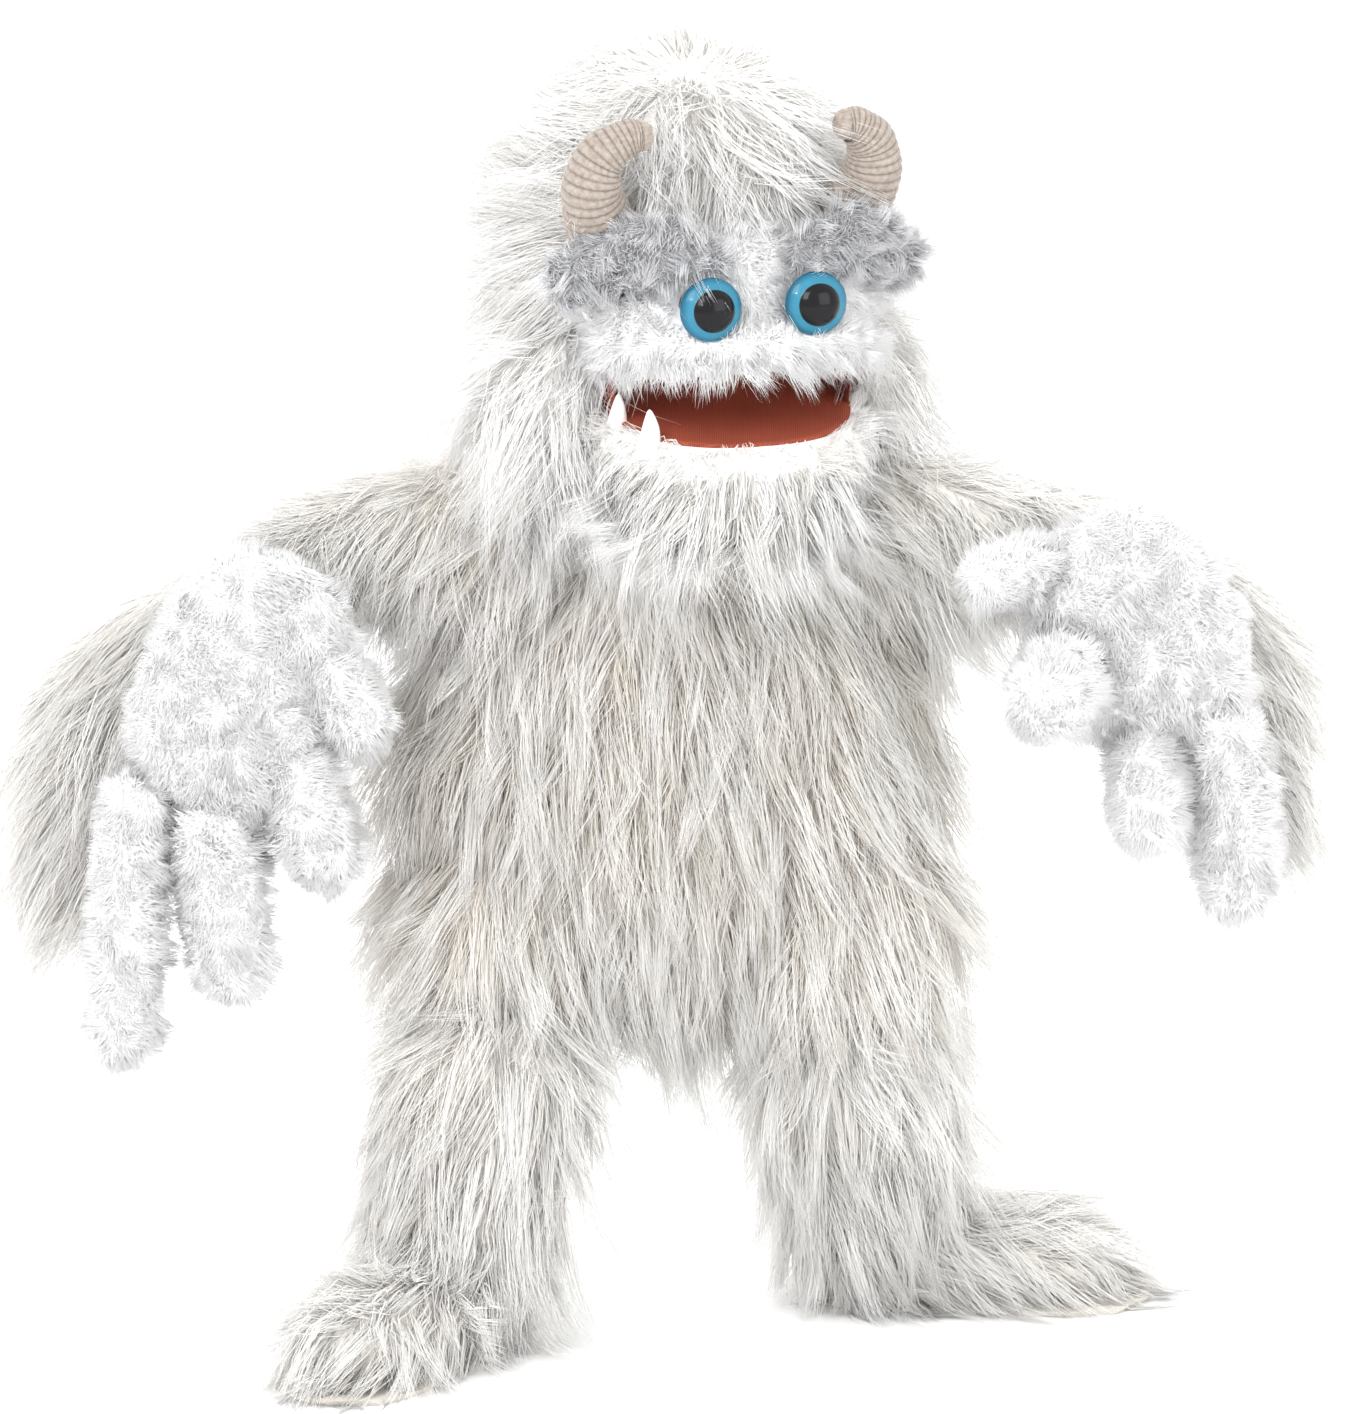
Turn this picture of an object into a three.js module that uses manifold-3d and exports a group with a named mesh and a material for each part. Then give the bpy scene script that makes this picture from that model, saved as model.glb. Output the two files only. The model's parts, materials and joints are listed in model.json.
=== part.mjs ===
// A full-bodied yeti puppet with a moving mouth and glove hands, in millimetres.
// +Z is up, -Y is the way the body faces, and the origin is on the floor under the middle of the puppet.
// "right" and "left" are the puppet's own sides, so right is towards -X.
import * as THREE from 'three';
import { mergeVertices } from 'three/addons/utils/BufferGeometryUtils.js';
import Module from 'manifold-3d';

const wasm = await Module();
wasm.setup();

// ---- driving dimensions ----
const GAP = 0.4; // between pieces that touch
const PLAY = 3; // between a ball and its socket
const TOP = 618; // crown of the head, over the pile
const PILE = 26; // long pile and its backing
const MIDDLE = [2.92, -17.8]; // middle of the whole puppet, which is moved over the origin at the end
const FAR = 200; // half the size of a block that cuts everything past a plane
const TORSO = { x: 3, y: 24, bottom: 140, top: 399, halfWidth: 131, depthRatio: 0.56 };
const SLEEVE = { x: 44, y: 34, wall: 3, bottom: 182 }; // the way in for the hand, up through the body
const BACK_SLOT = { halfWidth: 44, bottom: 182, top: 282 }; // where the hand goes in, at the back
const NECK = { x: 1, y: 21, z: 426, outer: [38, 31] }; // the nodding axis is at this height
const SHOULDER_BALL = 40;
const ELBOW_BALL = 33;
const WRIST_BALL = 30;
const HIP_BALL = 54;
const ANKLE_BALL = 34;
const SOLE = 3;

// The head's own frame has its middle at x = 0 and its face towards -Y.
const HEAD = { x: 10, y: -4, yaw: 20, halfWidth: 108, halfDepth: 98, back: 14 };
const MUZZLE = { at: [0, -46, 488], radii: [80, 50, 34] };
const MOUTH = {
  hinge: -5, z: 455, halfWidth: 61, middle: -30, reach: 60, upTilt: 6, downTilt: 15, closes: 19,
  upperBack: 1, lowerBack: -8, upperLow: 3.2, lowerTop: -2, lipHeight: 9,
};
const BOARD = 2.4; // mouth board
const CLOTH = 1.6; // mouth lining
// The pockets for the fingers, over the mouth board, and for the thumb, under it.
const FINGERS = { halfWidth: 44, front: -66, back: 66, low: 7, high: 34, wall: 2.5, opensAt: -8 };
const THUMB = { halfWidth: 17, front: -66, back: 60, below: 3, deep: 26, wall: 2.4 };
const PALM_ROOM = { y: 27, halfDepth: 38, below: 40 };
const JAW_ROOM = { halfWidth: 76, back: 4, above: 3 };
const CHIN = { at: [0, -36, 432], radii: [68, 56, 30], slope: 14, behindHinge: 9 };
const BEARD = { at: [0, -68, 404], radii: [66, 36, 38], back: -58, slope: 8, below: 6 };
const EYE = { x: 25, y: -88, z: 496, radius: 14.5, rim: 1.6, bulge: 8, shank: 3.2, shankLength: 17 };
const WASHER = { behind: 13, radius: 9.8, half: 1.2, room: 1.7, play: 0.6 };
const HORN = {
  points: [[62, -50, 530], [69, -60, 548], [67, -64, 563], [54, -66, 572]],
  radii: [13, 13, 11, 7],
};
const BROW = { points: [[24, -84, 522], [50, -78, 529], [78, -56, 515]], radii: [13, 18, 14], flat: 0.62 };
const TEETH = [
  { name: 'outer_tooth', at: [-60, -50, 427], tall: 21, radius: 4.6, lean: 12 },
  { name: 'inner_tooth', at: [-50, -73, 426], tall: 19, radius: 4.6, lean: 8 },
];

// The arms and legs. Points run from the body outwards, and each point has its radius.
const RIGHT_ARM = {
  side: 'right', shoulder: [-112, 8, 378], elbow: [-164, 2, 366], wrist: [-206, -6, 342],
  back: [[-212, -8, 332], [-240, -12, 285], [-258, -14, 222]], backRadii: [38, 46, 36],
  palm: [[-184, -61, 345], [-198, -61, 300]], palmRadii: [44, 50],
  digits: [
    { root: [-160, -62, 328], tip: [-141, -66, 304], radius: 17, curl: 40 },
    { root: [-170, -62, 278], tip: [-156, -66, 240], radius: 18, curl: 60 },
    { root: [-207, -62, 250], tip: [-199, -66, 190], radius: 19, curl: 70 },
    { root: [-243, -60, 262], tip: [-251, -62, 156], radius: 18, curl: 70 },
  ],
};
const LEFT_ARM = {
  side: 'left', shoulder: [118, 8, 378], elbow: [166, 2, 372], wrist: [214, -6, 358],
  back: [[220, -8, 350], [248, -12, 312], [264, -14, 252]], backRadii: [38, 46, 36],
  palm: [[196, -61, 366], [214, -61, 326]], palmRadii: [42, 48],
  digits: [
    { root: [164, -66, 372], tip: [141, -86, 372], radius: 17, curl: 25 },
    { root: [178, -68, 330], tip: [168, -102, 318], radius: 18, curl: 30 },
    { root: [212, -66, 290], tip: [214, -92, 262], radius: 18, curl: 40 },
    { root: [249, -60, 296], tip: [257, -66, 228], radius: 18, curl: 60 },
  ],
};
const FLAP = { flat: 0.5, rows: 6, sides: 14, pastWrist: 6 }; // the back of a glove
const PALM = { flat: 0.42, rows: 3, sides: 14 };
const GLOVE_ROOM = { halfWidth: 24, front: 2, back: 13, below: 46, above: 90 }; // about the palm
const RIGHT_LEG = {
  side: 'right', hip: [-84, 2, 122], knee: [-95, -8, 84], ankle: [-98, -14, 52], radii: [54, 46, 34],
  heel: [-92, -8], toe: [-146, -96],
};
const LEFT_LEG = {
  side: 'left', hip: [84, 26, 122], knee: [90, 40, 84], ankle: [92, 52, 52], radii: [54, 46, 34],
  heel: [84, 56], toe: [186, 58],
};
const LEG = { pile: 16, coreRise: 4, crown: 22, room: 90 };
const FOOT = { heelHeight: 30, toeHeight: 22, radii: [44, 47], flat: 0.86 };
const ANKLE_ROOM = { past: 14, radius: 62, rise: 60 }; // in the foot, for the leg

const COLOUR = {
  longPile: 0xe9e3d8, whitePile: 0xf2f1f0, plush: 0xf4f4f5, foam: 0xdcd6c4, fill: 0xf0efec,
  sleeve: 0xd8d2c6, board: 0xb59a74, lining: 0xa65646, horn: 0xb5a694, brow: 0xb9b8bc,
  iris: 0x2a86a8, tooth: 0xf7f6f2, washer: 0x303236, sole: 0xdedad2,
};

// ---- from geometry to solids and back ----
function solid(geometry) {
  const bare = geometry.clone();
  for (const name of Object.keys(bare.attributes)) {
    if (name !== 'position') bare.deleteAttribute(name);
  }
  const merged = mergeVertices(bare, 1e-3);
  const index = merged.index.array;
  const faces = [];
  for (let i = 0; i < index.length; i += 3) {
    const [a, b, c] = [index[i], index[i + 1], index[i + 2]];
    if (a !== b && b !== c && c !== a) faces.push(a, b, c);
  }
  const vertProperties = merged.attributes.position.array;
  const wrap = (list) => new wasm.Manifold(
    new wasm.Mesh({ numProp: 3, vertProperties, triVerts: new Uint32Array(list) }));
  const made = wrap(faces);
  return made.volume() > 0 ? made : wrap(faces.reverse());
}

// A named mesh of the body's largest part, without the crumbs that a cut can leave beside it.
function piece(name, body, color, roughness = 0.95, metalness = 0) {
  const parts = body.decompose().sort((a, b) => b.volume() - a.volume());
  const mesh = parts[0].getMesh();
  const geometry = new THREE.BufferGeometry();
  geometry.setAttribute('position', new THREE.BufferAttribute(mesh.vertProperties, 3));
  geometry.setIndex(new THREE.BufferAttribute(mesh.triVerts, 1));
  geometry.computeVertexNormals();
  const made = new THREE.Mesh(geometry, new THREE.MeshStandardMaterial({ color, roughness, metalness }));
  made.name = name;
  return made;
}

const cut = (body, ...others) => others.reduce((left, other) => left.subtract(other), body);
const join = (body, ...others) => others.reduce((left, other) => left.add(other), body);

// ---- simple shapes ----
function ball([x, y, z], [rx, ry, rz], sides = 16) {
  const shape = new THREE.SphereGeometry(1, sides, sides / 2).rotateX(Math.PI / 2);
  return solid(shape.scale(rx, ry, rz).translate(x, y, z));
}

const sphere = (centre, radius, sides = 16) => ball(centre, [radius, radius, radius], sides);

function block([x0, y0, z0], [x1, y1, z1]) {
  const shape = new THREE.BoxGeometry(x1 - x0, y1 - y0, z1 - z0);
  return solid(shape.translate((x0 + x1) / 2, (y0 + y1) / 2, (z0 + z1) / 2));
}

// An upright tube or rod with an oval section.
function column([x, y], [rx, ry], z0, z1, sides = 18) {
  const shape = new THREE.CylinderGeometry(1, 1, z1 - z0, sides).rotateX(Math.PI / 2);
  return solid(shape.scale(rx, ry, 1).translate(x, y, (z0 + z1) / 2));
}

// A round-ended limb along a smooth curve. radii belongs to the points, and flat thins it along `thin`.
function limb(points, radii, { flat = 1, thin = [0, 1, 0], rows = 5, sides = 12 } = {}) {
  const curve = new THREE.CatmullRomCurve3(points.map((p) => new THREE.Vector3(...p)));
  const spans = points.length - 1;
  const radiusAt = (t) => {
    const span = Math.min(Math.floor(t * spans), spans - 1);
    return THREE.MathUtils.lerp(radii[span], radii[span + 1], t * spans - span);
  };
  const rings = [];
  const capSteps = 3;
  for (let i = 0; i < capSteps; i += 1) rings.push({ t: 0, turn: (i / capSteps - 1) * Math.PI / 2 });
  for (let i = 0; i <= rows; i += 1) rings.push({ t: i / rows, turn: 0 });
  for (let i = 1; i <= capSteps; i += 1) rings.push({ t: 1, turn: (i / capSteps) * Math.PI / 2 });
  const last = rings.length - 1;
  const profile = rings.map(
    ({ turn }, row) => new THREE.Vector2(row === 0 || row === last ? 0 : Math.cos(turn), row));
  const geometry = new THREE.LatheGeometry(profile, sides);
  const place = geometry.getAttribute('position');
  for (let i = 0; i < place.count; i += 1) {
    const { t, turn } = rings[Math.round(place.getY(i))];
    const along = curve.getTangent(t);
    const wide = new THREE.Vector3(...thin).cross(along).normalize();
    const deep = along.clone().cross(wide);
    const r = radiusAt(t);
    const at = curve.getPoint(t).addScaledVector(along, r * Math.sin(turn));
    at.addScaledVector(wide, r * place.getX(i)).addScaledVector(deep, r * flat * place.getZ(i));
    place.setXYZ(i, at.x, at.y, at.z);
  }
  return solid(geometry);
}

// The same body turned about the X axis through (y, z).
function tilted(body, degrees, [y, z]) {
  return body.translate(0, -y, -z).rotate(degrees, 0, 0).translate(0, y, z);
}

// ---- torso ----
function torsoShape(inset) {
  const { x, y, bottom, top, halfWidth, depthRatio } = TORSO;
  const tall = top - bottom;
  const share = [[0.02, 0], [0.42, 0.005], [0.74, 0.06], [0.92, 0.17], [1, 0.34], [1.01, 0.5], [0.97, 0.66],
    [0.88, 0.82], [0.66, 0.94], [0.38, 0.99], [0.02, 1]];
  const outline = new THREE.SplineCurve(share.map(([wide, up]) => new THREE.Vector2(
    wide * (halfWidth - inset), bottom + inset + up * (tall - inset))));
  const points = outline.getPoints(11);
  points.unshift(new THREE.Vector2(0, points[0].y));
  points.push(new THREE.Vector2(0, points[points.length - 1].y));
  const geometry = new THREE.LatheGeometry(points, 22).rotateX(Math.PI / 2).scale(1, -depthRatio, 1);
  return solid(geometry.translate(x, y, 0));
}

function torso() {
  const group = new THREE.Group();
  const { x, y } = TORSO;
  const sockets = [
    ...[RIGHT_ARM, LEFT_ARM].map((arm) => sphere(arm.shoulder, SHOULDER_BALL + PLAY)),
    ...[RIGHT_LEG, LEFT_LEG].map((leg) => sphere(leg.hip, HIP_BALL + PLAY)),
  ];
  const way = (grow) => join(
    column([x, y], [SLEEVE.x + grow, SLEEVE.y + grow], SLEEVE.bottom - grow, TORSO.top + 20),
    block([x - BACK_SLOT.halfWidth - grow, y, BACK_SLOT.bottom - grow],
      [x + BACK_SLOT.halfWidth + grow, y + FAR, BACK_SLOT.top + grow]));
  group.add(piece('body_fur', cut(torsoShape(0), torsoShape(PILE), way(0), ...sockets), COLOUR.longPile));
  group.add(piece('body_stuffing', cut(torsoShape(PILE + GAP), way(0), ...sockets), COLOUR.fill));
  // The lining is sewn in only as far as the fur reaches, so it ends inside the fur's surface.
  const lining = cut(way(-GAP), way(-GAP - SLEEVE.wall), ...sockets).intersect(torsoShape(SLEEVE.wall));
  group.add(piece('body_lining', lining, COLOUR.sleeve));
  return group;
}

// ---- neck ----
function neck() {
  const group = new THREE.Group();
  const centre = [NECK.x, NECK.y];
  const inside = NECK.outer.map((radius) => radius - SLEEVE.wall);
  const [low, high] = [TORSO.top + PLAY, NECK.z + 6];
  const tube = cut(column(centre, NECK.outer, low, high), column(centre, inside, low - PLAY, high + PLAY));
  group.add(piece('neck_lining', tube, COLOUR.sleeve));
  return group;
}

// ---- head, in its own frame ----
const headShape = (inset) => ball([0, HEAD.back, TOP - HEAD.halfWidth - 2],
  [HEAD.halfWidth - inset, HEAD.halfDepth - inset, HEAD.halfWidth + 2 - inset], 22);

// The plan of the mouth: straight sides back to the hinge and a blunt round front.
function mouthPlan(inset, back) {
  const { halfWidth, middle, reach } = MOUTH;
  const shape = new THREE.Shape();
  shape.moveTo(-(halfWidth - inset), -back);
  const steps = 12;
  const squareness = 0.8; // 1 is an ellipse, and less is squarer
  for (let i = 0; i <= steps; i += 1) {
    const turn = Math.PI * (1 - i / steps);
    const across = Math.sign(Math.cos(turn)) * Math.abs(Math.cos(turn)) ** squareness;
    const forward = Math.sin(turn) ** squareness;
    shape.lineTo(across * (halfWidth - inset), -middle + forward * (reach - inset));
  }
  shape.lineTo(halfWidth - inset, -back);
  shape.closePath();
  return shape;
}

// A plate of that plan, its underside at height `low` over the hinge, leaning by `lean` degrees at the front.
function mouthPlate(inset, back, low, thick, lean) {
  const geometry = new THREE.ExtrudeGeometry(mouthPlan(inset, back), { depth: thick, bevelEnabled: false });
  const flat = solid(geometry.scale(1, -1, 1).translate(0, 0, MOUTH.z + low));
  return tilted(flat, lean, [MOUTH.hinge, MOUTH.z]);
}

const aboutHinge = (body, degrees) => tilted(body, degrees, [MOUTH.hinge, MOUTH.z]);

// The room that the upper board and its lining leave in the head.
const upperRoom = () => mouthPlate(
  2 - GAP, MOUTH.upperBack + GAP, MOUTH.upperLow - GAP, CLOTH + BOARD + GAP * 2, -MOUTH.upTilt);

// The room for the four fingers, over the mouth board.
const fingerRoom = (grow) => aboutHinge(block(
  [-FINGERS.halfWidth - grow, FINGERS.front - grow, MOUTH.z + FINGERS.low - grow],
  [FINGERS.halfWidth + grow, FINGERS.back, MOUTH.z + FINGERS.high + grow]), -MOUTH.upTilt);

const palmRoom = () => column([0, PALM_ROOM.y], [FINGERS.halfWidth, PALM_ROOM.halfDepth],
  NECK.z - PALM_ROOM.below, MOUTH.z + FINGERS.high);

// The room that the lower jaw swings through.
function jawRoom() {
  const { halfWidth, back, above } = JAW_ROOM;
  const low = [-halfWidth, -FAR, MOUTH.z - FAR];
  return join(aboutHinge(block(low, [halfWidth, back, MOUTH.z + above]), -MOUTH.upTilt),
    block(low, [halfWidth, back, MOUTH.z]));
}

// A hole along Y, `deep` long from `from` behind the eye's seat. A negative depth goes towards the front.
function eyeHole(x, radius, from, deep, sides) {
  const shape = new THREE.CylinderGeometry(radius, radius, Math.abs(deep), sides);
  return solid(shape.translate(x, EYE.y + from + deep / 2, EYE.z));
}

const eyeSeat = (x) => join(
  eyeHole(x, EYE.radius + GAP, 0, -60, 16),
  eyeHole(x, EYE.shank + GAP, -1, EYE.shankLength + 2, 10),
  eyeHole(x, WASHER.radius + WASHER.play, WASHER.behind - WASHER.room, WASHER.room * 2, 12));

function eye(name, x) {
  const { radius, rim, bulge, shank, shankLength } = EYE;
  const outline = [[0, -shankLength], [shank, -shankLength], [shank, GAP], [radius, GAP], [radius, rim]];
  const steps = 4;
  for (let i = 1; i < steps; i += 1) {
    const turn = (i / steps) * Math.PI / 2;
    outline.push([radius * Math.cos(turn), rim + bulge * Math.sin(turn)]);
  }
  outline.push([0, rim + bulge]);
  const shape = new THREE.LatheGeometry(outline.map((p) => new THREE.Vector2(...p)), 16);
  return piece(name, solid(shape.rotateX(Math.PI).translate(x, EYE.y, EYE.z)), COLOUR.iris, 0.12);
}

function eyeWasher(name, x) {
  const { radius, half, behind } = WASHER;
  const bore = EYE.shank + GAP;
  const ring = [[bore, -half], [radius, -half], [radius, half], [bore, half], [bore, -half]];
  const shape = new THREE.LatheGeometry(ring.map((p) => new THREE.Vector2(...p)), 12);
  return piece(name, solid(shape.translate(x, EYE.y + behind, EYE.z)), COLOUR.washer, 0.4);
}

// A horn or a brow, for the left side (sign 1) or the right (sign -1).
const paired = ({ points, radii }, sign, grow, shape) => limb(
  points.map(([x, y, z]) => [sign * x, y, z]), radii.map((radius) => radius + grow), shape);
const horn = (sign, grow = 0) => paired(HORN, sign, grow, { rows: 6, sides: 12 });
const brow = (sign, grow = 0) => paired(BROW, sign, grow, { rows: 6, sides: 12, flat: BROW.flat });

// The room that every layer of the head leaves for the hand, the jaw, the eyes and the trimmings.
function headRooms() {
  return [fingerRoom(0), palmRoom(), jawRoom(), upperRoom(), ...TEETH.map(toothPath),
    eyeSeat(-EYE.x), eyeSeat(EYE.x), brow(-1, GAP), brow(1, GAP)];
}

function headLayers() {
  const group = new THREE.Group();
  const muzzleShape = (grow) => ball(MUZZLE.at, MUZZLE.radii.map((radius) => radius + grow), 20);
  const below = block([-FAR, -FAR, NECK.z - FAR], [FAR, FAR, NECK.z + 2]);
  const rooms = [...headRooms(), horn(-1, GAP), horn(1, GAP), muzzleShape(GAP), below];
  group.add(piece('head_fur', cut(headShape(0), headShape(PILE), ...rooms), COLOUR.whitePile));
  group.add(piece('head_foam', cut(headShape(PILE + GAP), ...rooms), COLOUR.foam));
  const underLip = block([-FAR, -FAR, MOUTH.z - FAR], [FAR, FAR, MOUTH.z + MOUTH.lipHeight]);
  const lip = aboutHinge(underLip, -MOUTH.upTilt);
  group.add(piece('muzzle_plush', cut(muzzleShape(0), ...headRooms(), fingerRoom(GAP), lip), COLOUR.plush));
  return group;
}

function upperMouth() {
  const group = new THREE.Group();
  const { upperBack, upperLow, upTilt } = MOUTH;
  const paths = TEETH.map(toothPath);
  const lining = mouthPlate(2, upperBack, upperLow, CLOTH, -upTilt);
  group.add(piece('upper_mouth_lining', cut(lining, ...paths), COLOUR.lining));
  const board = mouthPlate(4, upperBack, upperLow + CLOTH + GAP, BOARD - GAP, -upTilt);
  group.add(piece('upper_mouth_board', cut(board, ...paths), COLOUR.board, 0.8));
  const { halfWidth, front, low, high, wall, opensAt } = FINGERS;
  const inside = aboutHinge(block([-halfWidth + wall, front + wall, MOUTH.z + low + wall],
    [halfWidth - wall, FAR, MOUTH.z + high - wall]), -upTilt);
  const behind = block([-FAR, opensAt, MOUTH.z - FAR], [FAR, FAR, MOUTH.z + FAR]);
  group.add(piece('finger_pocket', cut(fingerRoom(-GAP), inside, behind), COLOUR.sleeve));
  return group;
}

function headTrimmings() {
  const group = new THREE.Group();
  for (const [side, sign] of [['right', -1], ['left', 1]]) {
    group.add(eye(`${side}_eye`, sign * EYE.x));
    group.add(eyeWasher(`${side}_eye_washer`, sign * EYE.x));
    group.add(piece(`${side}_horn`, cut(horn(sign), brow(sign, GAP)), COLOUR.horn, 0.9));
    group.add(piece(`${side}_brow`, brow(sign), COLOUR.brow));
  }
  return group;
}

// ---- lower jaw, in the head's frame ----
function toothShape({ at, tall, radius, lean }, grow = 0) {
  const share = [[1, 0], [1.05, 0.2], [0.8, 0.55], [0.4, 0.88]]; // of the radius and the height
  const outline = share.map(([wide, up], i) => [radius * wide + grow, tall * up + (i === 0 ? -grow : 0)]);
  outline.unshift([0, -grow]);
  outline.push([0, tall + grow]);
  const shape = new THREE.LatheGeometry(outline.map((p) => new THREE.Vector2(...p)), 10).rotateX(Math.PI / 2);
  return solid(shape.rotateY(THREE.MathUtils.degToRad(lean)).translate(...at));
}

// Where a tooth goes as the mouth shuts: the plush of the upper lip gives way there.
function toothPath(tooth) {
  const steps = 5;
  const room = 1.2;
  const places = [];
  for (let i = 0; i <= steps; i += 1) {
    places.push(aboutHinge(toothShape(tooth, room), -MOUTH.closes * i / steps));
  }
  return join(...places);
}

// Everything behind the plane that leans forward by `slope` degrees below `z`.
const behindSlope = (y, z, slope) => tilted(block([-FAR, y, z - FAR], [FAR, y + FAR, z + FAR]), -slope, [y, z]);

function jaw() {
  const group = new THREE.Group();
  const { hinge, z, downTilt, lowerBack, lowerTop } = MOUTH;
  const roots = TEETH.map((tooth) => toothShape(tooth, GAP));
  const low = lowerTop - CLOTH;
  const under = low - BOARD - GAP;
  const lining = mouthPlate(2, lowerBack, low, CLOTH, downTilt);
  group.add(piece('lower_mouth_lining', cut(lining, ...roots), COLOUR.lining));
  const board = mouthPlate(4, lowerBack, low - BOARD, BOARD - GAP, downTilt);
  group.add(piece('lower_mouth_board', cut(board, ...roots), COLOUR.board, 0.8));
  const above = (height) => aboutHinge(block([-FAR, -FAR, z + height], [FAR, FAR, z + FAR]), downTilt);
  const behind = behindSlope(hinge - CHIN.behindHinge, z, CHIN.slope);
  const thumb = (grow) => aboutHinge(block(
    [-THUMB.halfWidth - grow, THUMB.front - grow, z + under - THUMB.deep - grow],
    [THUMB.halfWidth + grow, THUMB.back, z + under - THUMB.below + grow]), downTilt);
  const chinShape = (grow) => ball(CHIN.at, CHIN.radii.map((radius) => radius + grow), 18);
  group.add(piece('chin_plush', cut(chinShape(0), above(under), behind, thumb(0), ...roots), COLOUR.plush));
  group.add(piece('thumb_pocket', cut(thumb(-GAP), thumb(-THUMB.wall), behind), COLOUR.sleeve));
  const beard = cut(ball(BEARD.at, BEARD.radii, 18), chinShape(GAP), above(under - BEARD.below),
    behindSlope(BEARD.back, BEARD.at[2], BEARD.slope), ...roots);
  group.add(piece('beard_fur', beard, COLOUR.whitePile));
  for (const tooth of TEETH) group.add(piece(tooth.name, toothShape(tooth), COLOUR.tooth, 0.35));
  return group;
}

function head() {
  const group = new THREE.Group();
  group.add(headLayers(), upperMouth(), headTrimmings(), jaw());
  group.position.set(HEAD.x, HEAD.y, 0);
  group.rotation.z = THREE.MathUtils.degToRad(HEAD.yaw);
  return group;
}

// ---- arms ----
// Everything on the near side of the plane that lies `past` beyond `to`, square to the line from `from`.
function halfSpace(from, to, past) {
  const start = new THREE.Vector3(...from);
  const along = new THREE.Vector3(...to).sub(start).normalize();
  const shape = new THREE.BoxGeometry(FAR * 2, FAR * 2, FAR * 2).translate(0, 0, -FAR);
  shape.applyQuaternion(new THREE.Quaternion().setFromUnitVectors(new THREE.Vector3(0, 0, 1), along));
  const face = new THREE.Vector3(...to).addScaledVector(along, past);
  return solid(shape.translate(face.x, face.y, face.z));
}

const DIGIT_NAMES = ['thumb', 'first_finger', 'middle_finger', 'little_finger'];
const digitShape = ({ root, tip, radius }) => limb([root, tip], [radius, radius - 1], { rows: 2, sides: 10 });

// The room that a digit sweeps through as it curls forward about an axis across it, at its root.
function digitRoom({ root, tip, radius, curl }) {
  const from = new THREE.Vector3(...root);
  const reach = new THREE.Vector3(...tip).sub(from);
  const axis = new THREE.Vector3(reach.z, 0, -reach.x).normalize();
  const steps = 2;
  const places = [];
  for (let i = 0; i <= steps; i += 1) {
    const turn = THREE.MathUtils.degToRad(curl * i / steps);
    const end = from.clone().add(reach.clone().applyAxisAngle(axis, turn));
    places.push(limb([root, end.toArray()], [radius + PLAY + 0.5, radius + PLAY], { rows: 1, sides: 8 }));
  }
  return join(...places);
}

function glove({ side, shoulder, elbow, wrist, back, backRadii, palm, palmRadii, digits }) {
  const group = new THREE.Group();
  const flap = cut(limb(back, backRadii, FLAP), sphere(wrist, WRIST_BALL + PLAY),
    halfSpace(elbow, wrist, FLAP.pastWrist));
  group.add(piece(`${side}_hand_back`, flap, COLOUR.longPile));
  const { halfWidth, front, back: deep, below, above } = GLOVE_ROOM;
  const [x, y, z] = palm[0].map((value, i) => (value + palm[1][i]) / 2);
  const room = block([x - halfWidth, y + front, z - below], [x + halfWidth, y + deep, z + above]);
  const body = cut(limb(palm, palmRadii, PALM), room, ...digits.map(digitRoom),
    limb(back, backRadii.map((radius) => radius + GAP * 2), FLAP),
    limb([elbow, wrist], [ELBOW_BALL + PLAY, WRIST_BALL + PLAY], { rows: 3 }),
    limb([shoulder, elbow], [SHOULDER_BALL + PLAY, ELBOW_BALL + PLAY], { rows: 3 }));
  group.add(piece(`${side}_palm`, body, COLOUR.plush));
  digits.forEach((digit, i) => {
    group.add(piece(`${side}_${DIGIT_NAMES[i]}`, digitShape(digit), COLOUR.plush));
  });
  return group;
}

function arm(shape) {
  const group = new THREE.Group();
  const { side, shoulder, elbow, wrist } = shape;
  const upper = limb([shoulder, elbow], [SHOULDER_BALL, ELBOW_BALL + 1], { rows: 3 });
  group.add(piece(`${side}_upper_arm`, cut(upper, sphere(elbow, ELBOW_BALL + PLAY)), COLOUR.longPile));
  const fore = limb([elbow, wrist], [ELBOW_BALL, WRIST_BALL], { rows: 3 });
  group.add(piece(`${side}_forearm`, fore, COLOUR.longPile), glove(shape));
  return group;
}

// ---- legs ----
function footShape([x, y], [toeX, toeY], grow, floor) {
  const points = [[x, y, FOOT.heelHeight], [toeX, toeY, FOOT.toeHeight]];
  const raw = limb(points, FOOT.radii.map((radius) => radius + grow),
    { flat: FOOT.flat, thin: [0, 0, 1], rows: 4, sides: 14 });
  return cut(raw, block([-FAR * 2, -FAR * 2, -FAR], [FAR * 2, FAR * 2, floor]));
}

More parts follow.
